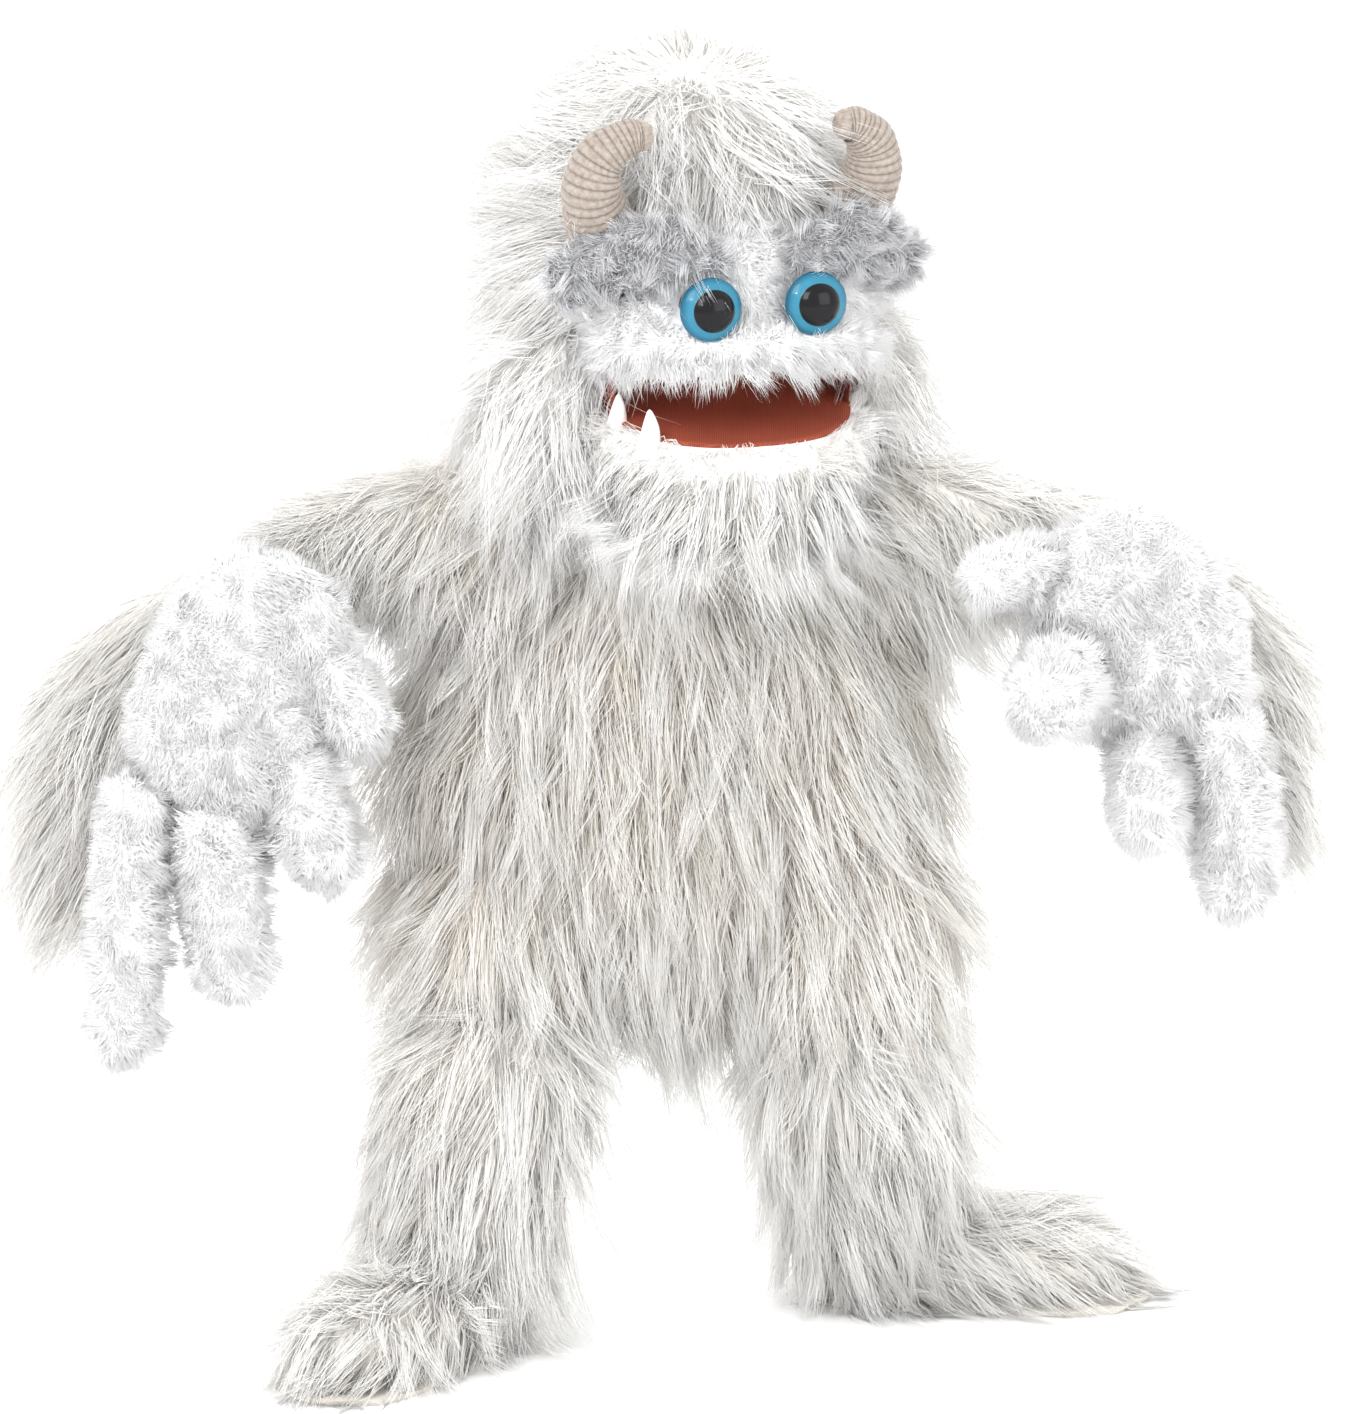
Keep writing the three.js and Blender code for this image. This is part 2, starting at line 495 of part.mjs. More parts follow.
function leg({ side, hip, knee, ankle, radii, heel, toe }) {
  const group = new THREE.Group();
  const corePath = [[hip[0], hip[1], hip[2] + LEG.coreRise], knee, ankle];
  const core = (inset) => limb(corePath, radii.map((radius) => radius - inset), { rows: 4 });
  const crown = block([hip[0] - LEG.room, hip[1] - LEG.room, hip[2] + LEG.crown],
    [hip[0] + LEG.room, hip[1] + LEG.room, hip[2] + FAR]);
  const skin = cut(limb([hip, knee, ankle], radii, { rows: 4 }), core(LEG.pile), crown);
  group.add(piece(`${side}_leg_fur`, skin, COLOUR.longPile));
  group.add(piece(`${side}_leg_stuffing`, core(LEG.pile + GAP), COLOUR.fill));
  const room = join(sphere(ankle, ANKLE_BALL + ANKLE_ROOM.past),
    column([ankle[0], ankle[1]], [ANKLE_ROOM.radius, ANKLE_ROOM.radius], ankle[2], ankle[2] + ANKLE_ROOM.rise));
  group.add(piece(`${side}_foot`, cut(footShape(heel, toe, 0, SOLE + GAP), room), COLOUR.longPile));
  const slab = footShape(heel, toe, -4, 0).intersect(block([-FAR * 2, -FAR * 2, 0], [FAR * 2, FAR * 2, SOLE]));
  group.add(piece(`${side}_sole`, slab, COLOUR.sole));
  return group;
}

const puppet = new THREE.Group();
puppet.add(torso(), neck(), head(), arm(RIGHT_ARM), arm(LEFT_ARM), leg(RIGHT_LEG), leg(LEFT_LEG));
puppet.position.set(-MIDDLE[0], -MIDDLE[1], 0);

export default puppet;
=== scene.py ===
"""A shaggy yeti puppet with a moving mouth and glove hands, in metres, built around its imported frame."""
import functools
import json
import math

import bmesh
import bpy
import numpy as np
from bpy.props import FloatProperty, FloatVectorProperty, IntProperty, PointerProperty
from mathutils import Matrix, Vector


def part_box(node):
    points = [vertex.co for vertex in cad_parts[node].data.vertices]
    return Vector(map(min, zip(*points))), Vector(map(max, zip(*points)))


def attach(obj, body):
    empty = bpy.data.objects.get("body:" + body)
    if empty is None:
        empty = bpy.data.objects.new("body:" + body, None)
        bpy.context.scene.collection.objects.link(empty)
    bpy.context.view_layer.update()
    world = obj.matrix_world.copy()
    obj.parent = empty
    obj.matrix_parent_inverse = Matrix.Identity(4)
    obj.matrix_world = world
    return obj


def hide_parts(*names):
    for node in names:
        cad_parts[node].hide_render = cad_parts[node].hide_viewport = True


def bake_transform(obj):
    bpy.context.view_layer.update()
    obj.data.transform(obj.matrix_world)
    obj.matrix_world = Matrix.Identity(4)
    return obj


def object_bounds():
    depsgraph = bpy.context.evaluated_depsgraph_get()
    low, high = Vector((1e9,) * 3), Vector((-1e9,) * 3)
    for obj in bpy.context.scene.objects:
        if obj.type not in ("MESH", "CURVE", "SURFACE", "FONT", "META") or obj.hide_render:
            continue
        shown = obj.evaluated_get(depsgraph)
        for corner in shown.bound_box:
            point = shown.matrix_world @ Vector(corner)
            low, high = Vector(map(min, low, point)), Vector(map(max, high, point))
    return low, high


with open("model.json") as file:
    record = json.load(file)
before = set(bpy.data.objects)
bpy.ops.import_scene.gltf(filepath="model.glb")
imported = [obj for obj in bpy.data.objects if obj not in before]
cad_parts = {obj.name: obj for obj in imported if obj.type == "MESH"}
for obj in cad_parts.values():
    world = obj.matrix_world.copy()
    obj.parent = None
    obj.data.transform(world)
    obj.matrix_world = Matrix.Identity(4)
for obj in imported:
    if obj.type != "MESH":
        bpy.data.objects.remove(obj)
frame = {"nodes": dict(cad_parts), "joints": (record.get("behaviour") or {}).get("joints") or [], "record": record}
CAD_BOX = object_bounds()

bl_info = {
    "name": "Yeti Hand Puppet",
    "version": (1, 0, 0),
    "blender": (4, 5, 0),
    "location": "View3D > Sidebar > Yeti Puppet",
    "description": "Builds a shaggy yeti puppet with a moving mouth and glove hands",
    "category": "Object",
}

MM = 0.001
DOWN = np.array([0.0, 0.0, -1.0])
FLOOR = 0.0
SIDES = ("right", "left")
SIGNED_SIDES = (("right", -1), ("left", 1))
FINGERS = ("thumb", "first_finger", "middle_finger", "little_finger")


# ---------------------------------------------------------------- settings
def length(name, default, description):
    """A length that a user would change, in metres."""
    return FloatProperty(name=name, description=description, default=default, unit="LENGTH", precision=4)


def number(name, default, description):
    """A plain number that a user would change."""
    return FloatProperty(name=name, description=description, default=default)


def colour(name, default, description):
    """A colour that a user would change."""
    return FloatVectorProperty(
        name=name, description=description, default=default, subtype="COLOR", size=3, min=0, max=1
    )


class PileSettings(bpy.types.PropertyGroup):
    """The long and the short pile of the cloth."""

    long_hair: length("Long hair", 0.052, "Length of the hair on the body")
    head_hair: length("Head hair", 0.050, "Length of the hair on the head")
    beard_hair: length("Beard hair", 0.046, "Length of the hair of the beard")
    leg_hair: length("Leg hair", 0.052, "Length of the hair on the legs")
    plush_hair: length("Plush hair", 0.0085, "Length of the short plush on the face and the gloves")
    brow_hair: length("Brow hair", 0.0085, "Length of the curly plush of the brows")
    hair_width: length("Hair width", 0.00085, "Width of one strand of long pile at its root")
    plush_width: length("Plush width", 0.00062, "Width of one strand of short plush at its root")
    backing: length("Backing depth", 0.021, "How deep the cloth lies under the outline of the pile")
    hair_per_m2: number("Hair density", 212000, "Strands of long pile on a square metre")
    plush_per_m2: number("Plush density", 1300000, "Strands of plush on a square metre")
    cream_root: colour("Cream root", (0.90, 0.84, 0.76), "Long cream pile at its root")
    cream_tip: colour("Cream tip", (0.975, 0.965, 0.945), "Long cream pile at its tip")
    white_root: colour("White root", (0.93, 0.915, 0.89), "White pile of the head at its root")
    white_tip: colour("White tip", (0.98, 0.978, 0.975), "White pile of the head at its tip")
    plush_root: colour("Plush root", (0.90, 0.90, 0.91), "Short plush at its root")
    plush_tip: colour("Plush tip", (0.97, 0.97, 0.975), "Short plush at its tip")
    brow_root: colour("Brow root", (0.34, 0.34, 0.355), "Brow plush at its root")
    brow_tip: colour("Brow tip", (0.80, 0.80, 0.82), "Brow plush at its tip")
    seed: IntProperty(name="Seed", description="Seed of the strands' places", default=11)


class FaceSettings(bpy.types.PropertyGroup):
    """The eyes, horns, teeth and mouth."""

    iris_light: colour("Iris, inside", (0.035, 0.19, 0.28), "Blue of the eye ring next to the pupil")
    iris_dark: colour("Iris, edge", (0.01, 0.10, 0.17), "Blue of the eye ring at its edge")
    pupil: colour("Pupil", (0.004, 0.004, 0.005), "Black of the pupil")
    # horn_yarn is the yarn's own colour on the raised stitches; horn_shade is painted shade, the colour given to
    # the grooves between stitches and rows
    horn_yarn: colour("Horn yarn", (0.39, 0.34, 0.30), "Light yarn of the horns")
    horn_shade: colour("Horn shade", (0.21, 0.175, 0.148), "Dark yarn of the horns")
    horn_rows: IntProperty(name="Horn rows", description="Knitted rows along a horn", default=25)
    tooth: colour("Tooth", (0.88, 0.87, 0.84), "Plastic of the teeth")
    mouth_cloth: colour("Mouth cloth", (0.37, 0.085, 0.045), "Cloth inside the mouth")
    mouth_shade: colour("Mouth cloth, dark", (0.21, 0.042, 0.025), "The darker threads of that cloth")


class StageSettings(bpy.types.PropertyGroup):
    """The camera, the floor and the lights."""

    distance: length("Camera distance", 5.0, "From the camera to the puppet")
    elevation: FloatProperty(
        name="Camera height", description="Angle of the camera above the floor", default=math.radians(12),
        subtype="ANGLE",
    )
    aim: FloatVectorProperty(
        name="Aim", description="The point that the camera looks at", default=(-0.003, 0.018, 0.295), size=3,
        subtype="TRANSLATION", unit="LENGTH",
    )
    brightness: number("Brightness", 1.0, "Strength of all the lights")
    frame_width: length("Frame width", 0.6147, "Width of the view at the puppet")
    floor: colour("Floor", (0.93, 0.93, 0.93), "The pale floor")


# ---------------------------------------------------------------- places from the frame
def named(rows, name):
    """The row of the frame's list that has this name."""
    return next(row for row in rows if row["name"] == name)


def place(joint):
    """Where a joint turns."""
    return Vector(named(frame["joints"], joint)["pos_m"])


def direction(joint):
    """The axis that a joint turns about."""
    return Vector(named(frame["joints"], joint)["axis"]).normalized()


def middle(node):
    """The middle of a node's box."""
    low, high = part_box(node)
    return (low + high) / 2


def head_place():
    """The head's own frame: its origin on the floor under the head, and its face towards -Y."""
    axis = direction("mouth_open")
    turn = Matrix.Rotation(math.atan2(axis.y, axis.x), 4, "Z")
    hinge = place("mouth_open")
    origin = hinge - turn @ Vector((0, HINGE_FORWARD, 0))
    return Matrix.Translation((origin.x, origin.y, 0)) @ turn


HINGE_FORWARD = -0.005
HEAD = head_place()
HEAD_BACK = HEAD.inverted()


def in_head(points):
    """Row-frame points in the head's own frame."""
    turn = np.array(HEAD_BACK.to_3x3())
    return points @ turn.T + np.array(HEAD_BACK.translation)


def head_normals(normals):
    """Row-frame directions in the head's own frame."""
    return normals @ np.array(HEAD_BACK.to_3x3()).T


def from_head(vectors):
    """Directions in the head's own frame turned to the row frame."""
    return vectors @ np.array(HEAD.to_3x3()).T


def head_point(x, y, z):
    """A point given in the head's frame, in millimetres."""
    return HEAD @ (Vector((x, y, z)) * MM)


# ---------------------------------------------------------------- the mouth's outline
UPPER_LEAN = 6.0
LOWER_LEAN = 15.0
MOUTH_Z = 455.0
MOUTH_HALF = 61.0
MOUTH_MIDDLE = -30.0
MOUTH_REACH = 60.0


def mouth_edge(share):
    """The mouth's outline in plan, in millimetres: 0 and 1 are its two back corners."""
    straight, power, back = 0.16, 0.8, -2.0
    if min(share, 1 - share) < straight:
        way = min(share, 1 - share) / straight
        return math.copysign(MOUTH_HALF, share - 0.5), back + (MOUTH_MIDDLE - back) * way
    turn = math.pi * (1 - (share - straight) / (1 - 2 * straight))
    c, s = math.cos(turn), max(math.sin(turn), 0.0)
    return math.copysign(abs(c) ** power, c) * MOUTH_HALF, MOUTH_MIDDLE - s ** power * MOUTH_REACH


def mouth_share(q):
    """1 on the mouth's outline and less inside it, for points in the head's frame."""
    ahead = np.maximum(MOUTH_MIDDLE - q[:, 1] / MM, 0) / MOUTH_REACH
    return (np.abs(q[:, 0]) / MM / MOUTH_HALF) ** 2.5 + ahead ** 2.5


def lean_point(x, y, height, lean):
    """A point `height` over a plate that leans about the mouth's hinge, in the head's millimetres."""
    turn, hinge = math.radians(lean), HINGE_FORWARD / MM
    ahead = hinge - y
    return head_point(x, hinge - ahead * math.cos(turn) + height * math.sin(turn),
                      MOUTH_Z + ahead * math.sin(turn) + height * math.cos(turn))


def lip(shape, lean, height, radius, grow, rise=0.0, first=0.07):
    """A roll along the edge of the mouth, `grow` outside its outline, whose ends rise by `rise`."""
    points = []
    steps, middle_y, ends_start, ends_length = 18, -38.0, -40.0, 25.0
    for i in range(steps + 1):
        x, y = mouth_edge(first + (1 - 2 * first) * i / steps)
        away = Vector((x, y - middle_y, 0)).normalized() * grow
        lift = rise * max(0.0, min(1.0, (y - ends_start) / ends_length))
        points.append(lean_point(x + away.x, y + away.y, height + lift, lean))
    return shape.limb(points, [radius * MM] * len(points), thin=(0, 0, 1), sides=14, per_span=2)


# ---------------------------------------------------------------- closed shapes
class Shape:
    """Closed surfaces gathered into one mesh."""

    def __init__(self):
        self.verts, self.faces = [], []

    def rings(self, rings, start, end):
        """Joins rings of points into a skin with a point at each end."""
        base, sides = len(self.verts), len(rings[0])
        self.verts += [tuple(p) for ring in rings for p in ring]
        for r in range(len(rings) - 1):
            for s in range(sides):
                a, b = base + r * sides + s, base + r * sides + (s + 1) % sides
                self.faces.append((a, b, b + sides, a + sides))
        first, last = len(self.verts), len(self.verts) + 1
        self.verts += [tuple(start), tuple(end)]
        top = base + (len(rings) - 1) * sides
        for s in range(sides):
            self.faces.append((base + (s + 1) % sides, base + s, first))
            self.faces.append((top + s, top + (s + 1) % sides, last))
        return self

    def limb(self, points, radii, flat=1.0, thin=(0, 1, 0), sides=20, per_span=6):
        """A round-ended limb through points, thinned by `flat` along `thin`."""
        points = [Vector(p) for p in points]
        curve, widths = smooth_path(points, radii, per_span)
        cap = 5
        rows = []
        for i, (centre, width) in enumerate(zip(curve, widths)):
            before, after = curve[max(i - 1, 0)], curve[min(i + 1, len(curve) - 1)]
            rows.append((centre, (after - before).normalized(), width))
        first, last = rows[0], rows[-1]
        start_cap = [(first, -math.pi / 2 * (1 - i / cap)) for i in range(1, cap)]
        end_cap = [(last, math.pi / 2 * i / cap) for i in range(1, cap)]
        rings = []
        for (centre, along, width), turn in start_cap + [(row, 0.0) for row in rows] + end_cap:
            wide = Vector(thin).cross(along).normalized()
            deep = along.cross(wide)
            at = centre + along * width * math.sin(turn)
            size = width * math.cos(turn)
            rings.append([
                at + wide * size * math.cos(a) + deep * size * flat * math.sin(a)
                for a in (2 * math.pi * s / sides for s in range(sides))
            ])
        ends = [first[0] - first[1] * first[2], last[0] + last[1] * last[2]]
        return self.rings(rings, *ends)

    def ball(self, centre, radii, turn=None, sides=28, rows=16):
        """An ellipsoid, turned by the matrix `turn`."""
        centre, turn = Vector(centre), turn or Matrix.Identity(3)
        rings = []
        for i in range(1, rows):
            tilt = math.pi * (i / rows - 0.5)
            rings.append([
                centre + turn @ Vector((
                    radii[0] * math.cos(tilt) * math.cos(a), radii[1] * math.cos(tilt) * math.sin(a),
                    radii[2] * math.sin(tilt)))
                for a in (2 * math.pi * s / sides for s in range(sides))
            ])
        up = turn @ Vector((0, 0, radii[2]))
        return self.rings(rings, centre - up, centre + up)

    def mesh(self, name):
        """The gathered surfaces as a mesh whose faces look outward."""
        mesh = bpy.data.meshes.new(name)
        mesh.from_pydata([tuple(v) for v in self.verts], [], self.faces)
        bm = bmesh.new()
        bm.from_mesh(mesh)
        bmesh.ops.recalc_face_normals(bm, faces=bm.faces)
        bm.to_mesh(mesh)
        bm.free()
        return mesh


def smooth_path(points, radii, per_span):
    """Points and radii along a Catmull-Rom curve."""
    curve, widths = [], []
    for i in range(len(points) - 1):
        p0, p1 = points[max(i - 1, 0)], points[i]
        p2, p3 = points[i + 1], points[min(i + 2, len(points) - 1)]
        for k in range(per_span):
            t = k / per_span
            curve.append(0.5 * (2 * p1 + (p2 - p0) * t + (2 * p0 - 5 * p1 + 4 * p2 - p3) * t ** 2
                                + (3 * p1 - p0 - 3 * p2 + p3) * t ** 3))
            ease = t * t * (3 - 2 * t)
            widths.append(radii[i] * (1 - ease) + radii[i + 1] * ease)
    curve.append(points[-1].copy())
    widths.append(radii[-1])
    return curve, widths


def new_object(name, mesh):
    """A new object in the scene, at the origin."""
    made = bpy.data.objects.new(name, mesh)
    bpy.context.scene.collection.objects.link(made)
    return made


def applied(made, name):
    """The object's evaluated mesh as a plain mesh, with the modifiers taken off."""
    graph = bpy.context.evaluated_depsgraph_get()
    mesh = bpy.data.meshes.new_from_object(made.evaluated_get(graph))
    mesh.name = name
    made.modifiers.clear()
    made.data = mesh
    return made


def fused(name, shape, voxel=0.005, smoothing=8, cuts=()):
    """Overlapping closed shapes melted into one soft skin, with half-spaces cut away."""
    made = new_object(name, shape.mesh(name))
    melt = made.modifiers.new("Melt", "REMESH")
    melt.mode, melt.voxel_size = "VOXEL", voxel
    soften = made.modifiers.new("Soften", "SMOOTH")
    soften.factor, soften.iterations = 0.5, smoothing
    applied(made, name)
    for point, normal in cuts:
        cut_away(made, point, normal)
    return smoothed(made)


def smoothed(made):
    """The object with all its faces shaded smooth."""
    for polygon in made.data.polygons:
        polygon.use_smooth = True
    return made


def cut_away(made, point, normal):
    """Takes off what lies past the plane on the normal's side, and closes the cut."""
    bm = bmesh.new()
    bm.from_mesh(made.data)
    parts = bm.verts[:] + bm.edges[:] + bm.faces[:]
    cut = bmesh.ops.bisect_plane(bm, geom=parts, plane_co=point, plane_no=normal, clear_outer=True)
    edges = [e for e in cut["geom_cut"] if isinstance(e, bmesh.types.BMEdge)]
    bmesh.ops.edgenet_fill(bm, edges=edges)
    bmesh.ops.triangulate(bm, faces=[f for f in bm.faces if len(f.verts) > 4])
    bm.to_mesh(made.data)
    bm.free()


# ---------------------------------------------------------------- materials
class Shader:
    """A short way to wire a node material."""

    def __init__(self, name, roughness, values=None):
        self.material = bpy.data.materials.new(name)
        self.material.use_nodes = True
        self.nodes, self.links = self.material.node_tree.nodes, self.material.node_tree.links
        self.surface = self.nodes["Principled BSDF"]
        for key, value in {"Roughness": roughness, **(values or {})}.items():
            self.surface.inputs[key].default_value = value

    def add(self, kind, inputs=None, **settings):
        """A node with its settings, and its inputs set or linked."""
        node = self.nodes.new(kind)
        for key, value in settings.items():
            setattr(node, key, value)
        for key, value in (inputs or {}).items():
            if isinstance(value, bpy.types.NodeSocket):
                self.links.new(value, node.inputs[key])
            else:
                node.inputs[key].default_value = value
        return node

    def attribute(self, name):
        """A number that the mesh carries."""
        return self.add("ShaderNodeAttribute", attribute_name=name).outputs["Fac"]

    def place(self, scale=(1, 1, 1)):
        """Object coordinates, stretched by `scale`."""
        at = self.add("ShaderNodeTexCoord").outputs["Object"]
        return self.add("ShaderNodeMapping", {"Vector": at, "Scale": scale}).outputs["Vector"]

    def noise(self, scale, detail=3.0, at=None):
        inputs = {"Vector": at or self.place(), "Scale": scale, "Detail": detail, "Roughness": 0.55}
        return self.add("ShaderNodeTexNoise", inputs).outputs["Fac"]

    def sums(self, operation, a, b=0.0):
        return self.add("ShaderNodeMath", {0: a, 1: b}, operation=operation).outputs[0]

    def ramp(self, factor, *stops):
        """A colour that changes over `stops` of (place, colour)."""
        node = self.add("ShaderNodeValToRGB", {"Fac": factor})
        ramp = node.color_ramp
        while len(ramp.elements) < len(stops):
            ramp.elements.new(0.5)
        for element, (where, shade) in zip(ramp.elements, stops):
            element.position, element.color = where, (*shade, 1.0)
        return node.outputs["Color"]

    def multiplied(self, factor, a, b):
        """Colour a times colour b, by `factor`."""
        node = self.add("ShaderNodeMix", data_type="RGBA", blend_type="MULTIPLY")
        for key, value in ((0, factor), (6, a), (7, b)):
            if isinstance(value, bpy.types.NodeSocket):
                self.links.new(value, node.inputs[key])
            else:
                node.inputs[key].default_value = value if key == 0 else (*value, 1.0)
        return node.outputs[2]

    def colour(self, socket):
        self.links.new(socket, self.surface.inputs["Base Color"])
        return self

    def bump(self, height, strength, distance):
        node = self.add("ShaderNodeBump", {"Height": height, "Strength": strength, "Distance": distance})
        self.links.new(node.outputs["Normal"], self.surface.inputs["Normal"])
        return self


def pile_material(name, root, tip, warmth, warm=(0.92, 0.86, 0.77)):
    """Strands that pale from root to tip, with warmer and cooler locks."""
    shader = Shader(name, 0.62, {
        "Specular IOR Level": 0.25, "Sheen Weight": 0.12, "Subsurface Weight": 0.5,
        "Subsurface Radius": (1.0, 0.96, 0.91), "Subsurface Scale": 0.008})
    along = shader.ramp(shader.attribute("along"), (0.0, root), (0.55, tip))
    patches = shader.noise(9.0, 2.0)
    tint = shader.sums("MULTIPLY", shader.attribute("tint"), shader.sums("MULTIPLY", patches, 2.0 * warmth))
    return shader.colour(shader.multiplied(tint, along, warm)).material


def backing_material(name, root, tip):
    """The cloth under the pile, mottled like the hair that lies on it, and darkened as painted shade under the
    pile.
    """
    shader = Shader(name, 0.95)
    streaks = shader.noise(130.0, 4.0, at=shader.place((1, 1, 0.18)))
    # painted shade: the root and tip colours are dimmed to 0.86 and 0.93 for the shade that the pile casts on the
    # cloth
    dark, pale = tuple(c * 0.86 for c in root), tuple(c * 0.93 for c in tip)
    shader.colour(shader.ramp(streaks, (0.3, dark), (0.7, pale)))
    return shader.bump(streaks, 0.6, 0.002).material


# ---------------------------------------------------------------- the tree that grows pile
class Wires:
    """A short way to wire a geometry node tree."""

    def __init__(self, name, inputs):
        self.tree = bpy.data.node_groups.new(name, "GeometryNodeTree")
        self.tree.interface.new_socket("Geometry", in_out="INPUT", socket_type="NodeSocketGeometry")
        for label, kind, default in inputs:
            socket = self.tree.interface.new_socket(label, in_out="INPUT", socket_type=f"NodeSocket{kind}")
            if default is not None:
                socket.default_value = default
        self.tree.interface.new_socket("Geometry", in_out="OUTPUT", socket_type="NodeSocketGeometry")
        self.given = self.tree.nodes.new("NodeGroupInput").outputs

    def add(self, kind, inputs=None, **settings):
        """A node with its settings, and its inputs set or linked."""
        node = self.tree.nodes.new(kind)
        for key, value in settings.items():
            setattr(node, key, value)
        for key, value in (inputs or {}).items():
            if isinstance(value, bpy.types.NodeSocket):
                self.tree.links.new(value, node.inputs[key])
            else:
                node.inputs[key].default_value = value
        return node

    def vector(self, operation, a, b=None, scale=None):
        inputs = {0: a} if b is None else {0: a, 1: b}
        if scale is not None:
            inputs["Scale"] = scale
        return self.add("ShaderNodeVectorMath", inputs, operation=operation).outputs[0]

    def number(self, operation, a, b=0.0):
        return self.add("ShaderNodeMath", {0: a, 1: b}, operation=operation).outputs[0]

    def product(self, a, b):
        return self.number("MULTIPLY", a, b)

    def parts(self, vector):
        """A vector's three numbers."""
        return self.add("ShaderNodeSeparateXYZ", {0: vector}).outputs

    def joined(self, x=0.0, y=0.0, z=0.0):
        """A vector of three numbers."""
        return self.add("ShaderNodeCombineXYZ", {0: x, 1: y, 2: z}).outputs[0]

    def position(self):
        return self.add("GeometryNodeInputPosition").outputs[0]

    def scattered(self, density, seed):
        """Points strewn over the skin that the tree is given."""
        inputs = {"Mesh": self.given["Geometry"], "Density": density, "Seed": seed}
        return self.add("GeometryNodeDistributePointsOnFaces", inputs).outputs["Points"]

    def named(self, name, kind="FLOAT"):
        """An attribute of the geometry."""
        node = self.add("GeometryNodeInputNamedAttribute", {"Name": name}, data_type=kind)
        return node.outputs["Attribute"]

    def store(self, geometry, name, value, kind="FLOAT"):
        """The geometry with a new attribute on its points."""
        inputs = {"Geometry": geometry, "Name": name, "Value": value}
        return self.add("GeometryNodeStoreNamedAttribute", inputs, data_type=kind, domain="POINT").outputs[0]

    def sampled(self, geometry, value, index):
        """A vector of the geometry's point with this index."""
        inputs = {"Geometry": geometry, "Value": value, "Index": index}
        node = self.add("GeometryNodeSampleIndex", inputs, data_type="FLOAT_VECTOR", domain="POINT")
        return node.outputs[0]

    def centred_noise(self, at, scale):
        """A random vector about zero that stays the same at one place."""
        inputs = {"Vector": self.vector("SCALE", at, scale=scale)}
        noise = self.add("ShaderNodeTexWhiteNoise", inputs, noise_dimensions="3D").outputs["Color"]
        return self.vector("SUBTRACT", noise, (0.5, 0.5, 0.5))

    def finish(self, geometry):
        output = self.tree.nodes.new("NodeGroupOutput")
        self.tree.links.new(geometry, output.inputs[0])
        return self.tree


PILE_INPUTS = [
    ("Density", "Float", 100000.0),
    ("Lock Density", "Float", 9000.0),
    ("Width", "Float", 0.001),
    ("Segments", "Int", 3),
    ("Clump", "Float", 0.7),
    ("Stray", "Float", 0.5),
    ("Frizz", "Float", 0.25),
    ("Wave", "Float", 0.25),
    ("Droop", "Float", 0.2),
    ("Floor", "Float", 0.0),
    ("Seed", "Int", 0),
    ("Material", "Material", None),
]


